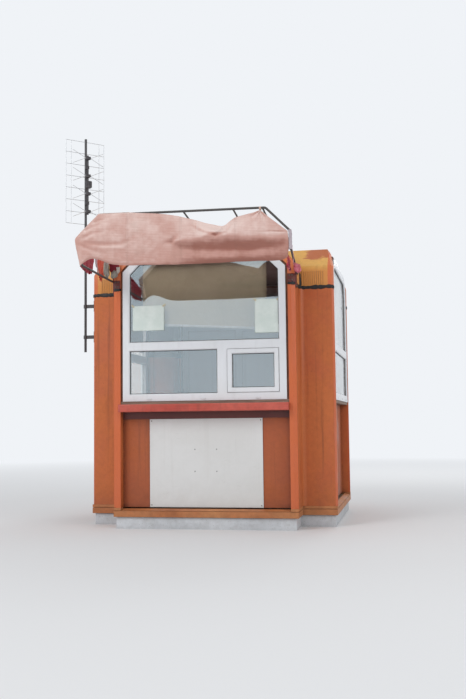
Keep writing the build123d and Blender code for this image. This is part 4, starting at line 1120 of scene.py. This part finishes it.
screw_look = dull_metal("dull zinc screws", 0.7, paint(70, 62, 56), paint(128, 118, 108),
                        (1, 1, 1), 300, 4, 0.7, 0.45, 0.7)
plug_look, tree, shader = material("grey plastic plugs", Roughness=0.5)
feed(shader, Base_Color=blend(clouds(position(tree), 200, 3), paint(128, 128, 128), paint(164, 164, 164)))
street = (0, -1, 0)
board_face, bracket_face, strut_top = -1.120, -1.206, 2.659
heads("board_screws", [(x, board_face, z) for x in (-0.524, 0.524) for z in (0.216, 1.003)],
      street, 0.005, 0.0025, 16, screw_look)
heads("board_plugs", [(x, board_face, z) for x in (-0.104, 0.104) for z in (0.529, 0.734)],
      street, 0.0064, 0.0012, 16, plug_look)
heads("bracket_bolts_front",
      [(side * x, bracket_face, z) for side in (-1, 1) for x in (0.826, 0.850) for z in (2.287, 2.331)],
      street, 0.0075, 0.005, 6, screw_look)
for side, name in ((-1, "bracket_bolts_left"), (1, "bracket_bolts_right")):
    places = [(side * 0.885, y, z) for y, z in ((-1.165, 2.235), (-1.135, 2.235), (-1.150, 2.382))]
    heads(name, places, (side, 0, 0), 0.0085, 0.006, 6, screw_look)
strut_feet = (-0.676, -0.320, 0.037, 0.465, 0.716)
heads("strut_screws", [(x + beside, -1.098, strut_top) for x in strut_feet for beside in (-0.014, 0.014)],
      (0, 0, 1), 0.005, 0.003, 12, screw_look)
heads("door_lock", [(0.0, 1.201, 0.955)], (0, 1, 0), 0.0085, 0.004, 24, metal_look)


# Mastic: black putty pressed along the joint under the roof by hand, thick and thin, and
# smeared up the inner corners of the plan. One corner's line is mirrored to all four. Its
# black is partly painted shade, for the shade in the joint and up the inner corners.
mastic_look = dusty_black("black mastic and shade", 0.6, paint(22, 22, 23), paint(78, 70, 62), 14, 0.45, 70, 0.003)
joint_height, wall, inner_corner, tucked = 2.259, 1.2006, 0.8756, 0.012
plan = np.array([(0.808, -wall), (0.852, -wall), (inner_corner, -1.177), (inner_corner, -inner_corner),
                 (1.177, -inner_corner), (wall, -0.852), (wall, -0.808)])
steps = np.r_[0, np.cumsum(np.linalg.norm(np.diff(plan, axis=0), axis=1))]
places = np.linspace(0, steps[-1], 230)
plan_path = np.stack([np.interp(places, steps, plan[:, k]) for k in (0, 1)], -1)
off_wall = right_of(plan_path)
bead_turn = np.linspace(0, pi, 9)
ends = ease(places, 0, tucked) * ease(places, steps[-1], steps[-1] - tucked)
mirrors = ((1, 1), (-1, 1), (-1, -1), (1, -1))
for number, mirror in enumerate(mirrors):
    drift = 0.004 * ripples(places, 0, 0.05, 0.3, 8, 70 + number)
    tall = (0.017 + 0.011 * ripples(places, 0, 0.02, 0.16, 10, 80 + number)) * ends
    thick = (0.0042 + 0.0030 * ripples(places, 0, 0.02, 0.12, 10, 90 + number)) * ends + 0.0004
    spots = plan_path[:, None] + off_wall[:, None] * (thick[:, None] * np.sin(bead_turn))[..., None]
    rise = joint_height + drift[:, None] - tall[:, None] * np.cos(bead_turn)
    points = np.concatenate([spots * mirror, rise[..., None]], -1)
    rows, columns = rise.shape
    faces = grid_faces(rows, columns, close_columns=True)[:, :: mirror[0] * mirror[1]]
    caps = range(columns), range((rows - 1) * columns, rows * columns)
    attach(new_object(f"mastic_joint_{number}", points, faces, caps=caps), mastic_look)
smear_height = np.linspace(0, 1, 60)[:, None]
smear_turn = np.linspace(0, 1, 9)
bulge = inner_corner - 0.0003 + 0.0035 * np.sin(pi * smear_turn)
for number, (mirror, reach_up) in enumerate(zip(mirrors, (0.155, 0.09, 0.07, 0.08))):
    wide = 0.020 + 0.009 * ripples(smear_height * reach_up, 0, 0.02, 0.09, 9, 100 + number)
    off = wide * ease(smear_height, 1.02, 0.75) * (smear_turn * 2 - 1)
    x, y = bulge + np.maximum(off, 0), bulge + np.maximum(-off, 0)
    z = np.broadcast_to(joint_height + 0.003 + reach_up * smear_height, off.shape)
    faces = grid_faces(*off.shape)[:, :: -mirror[0] * mirror[1]]
    smear = new_object(f"mastic_smear_{number}", np.stack([x * mirror[0], -y * mirror[1], z], -1), faces)
    attach(smear, mastic_look, 0.0025)


# Papers: two bare sheets bleached pale green, their lower edges curling, held to the
# outside of the upper pane by strips of yellowed tape across their upper corners.
paper_look, tree, shader = material("bleached paper", Roughness=0.7)
here = position(tree)
tone = blend(spread(clouds(here, 7, 6, 0.7), 0.35, 0.7), paint(214, 225, 219), paint(228, 236, 231))
fibres = spread(clouds(position(tree, (900, 900, 300)), 1.0, 2), 0.3, 0.7, 0.95, 1.03)
feed(shader, Base_Color=blend(1.0, tone, grey(fibres), "MULTIPLY"))
bumped(shader, clouds(here, 14, 3, 0.5), 0.003)
tape_look, tree, shader = material("clear yellowed tape", Roughness=0.3)
feed(shader, Base_Color=blend(clouds(position(tree), 60, 3), paint(196, 186, 150), paint(214, 206, 178)))
paper_face, tape_face, leaf, tape_turn = -1.1754, -1.1782, 0.0003, 0.7
for name, left, right_edge, low, top, seed in (
    ("paper_left", -0.690, -0.379, 1.859, 2.099, 3), ("paper_right", 0.491, 0.715, 1.807, 2.122, 6)
):
    v, u = shares(25, 21)
    curl = 0.0010 + 0.004 * (1 - v) ** 3 * (u - 0.5) ** 2 * 4
    curl += 0.0006 * (ripples(u, v, 0.5, 1.4, 6, seed) + 1)
    points = np.stack([left + (right_edge - left) * u, paper_face - curl, low + (top - low) * v], -1)
    attach(new_object(name, points, grid_faces(*u.shape)[:, ::-1]), paper_look, leaf)
    for number, (corner, inwards) in enumerate(((left, 1), (right_edge, -1))):
        v, u = np.meshgrid(np.linspace(-0.008, 0.008, 4), np.linspace(-0.014, 0.020, 8), indexing="ij")
        x = corner + inwards * (u * cos(tape_turn) - v * sin(tape_turn))
        z = top - (u * sin(tape_turn) + v * cos(tape_turn))
        points = np.stack([x, np.full(u.shape, tape_face), z], -1)
        strip = new_object(f"{name}_tape_{number}", points, grid_faces(*u.shape)[:, ::inwards])
        attach(strip, tape_look, leaf)


# Trim of the windows and the door: flat bars in the hems of the blinds, drain caps along
# the lower profiles, and the three hinges of the rear door.
def bar(name, start, end, wide, tall):
    """A bar of rounded section between two points: the curve whose powers of the two half
    sizes add to one, at each end, with flat caps."""
    start, end = np.array(start, float), np.array(end, float)
    run = (end - start) / np.linalg.norm(end - start)
    sideways = np.cross(run, (0, 0, 1)) if abs(run[2]) < 0.9 else np.array([1.0, 0, 0])
    sideways /= np.linalg.norm(sideways)
    turns = np.linspace(0, 2 * pi, 16, endpoint=False)
    over, up = (np.sign(wave) * np.abs(wave) ** 0.5 for wave in (np.cos(turns), np.sin(turns)))
    section = sideways * (over * wide / 2)[:, None] + np.cross(sideways, run) * (up * tall / 2)[:, None]
    faces = grid_faces(2, len(turns), close_columns=True)[:, ::-1]
    caps = range(len(turns)), range(2 * len(turns) - 1, len(turns) - 1, -1)
    piece = new_object(name, np.stack([start + section, end + section]), faces, smooth=False, caps=caps)
    attach(piece, plastic_look)


bar_half, bar_drop = 0.602, 0.003
for name, (quarter, *hem_heights) in blinds.items():
    ends = [behind_pane(quarter, end, low - bar_drop) for end, low in zip((-bar_half, bar_half), hem_heights)]
    bar(f"blind_bar_{name}", *ends, 0.008, 0.022)
cap_face, cap_height, cap_half = 1.1975, 1.208, 0.018
for number, place in enumerate((-0.52, 0.0, 0.52)):
    ends = place - cap_half, place + cap_half
    for label, pair in (
        ("front", [(end, -cap_face, cap_height) for end in ends]),
        ("left", [(-cap_face, end, cap_height) for end in ends]),
        ("right", [(cap_face, end, cap_height) for end in ends]),
    ):
        bar(f"drain_cap_{label}_{number}", *pair, 0.007, 0.010)
for number, place in enumerate((0.42, 1.15, 1.88)):
    bar(f"door_hinge_{number}", *[(0.7225, 1.199, place + half) for half in (-0.045, 0.045)], 0.018, 0.018)
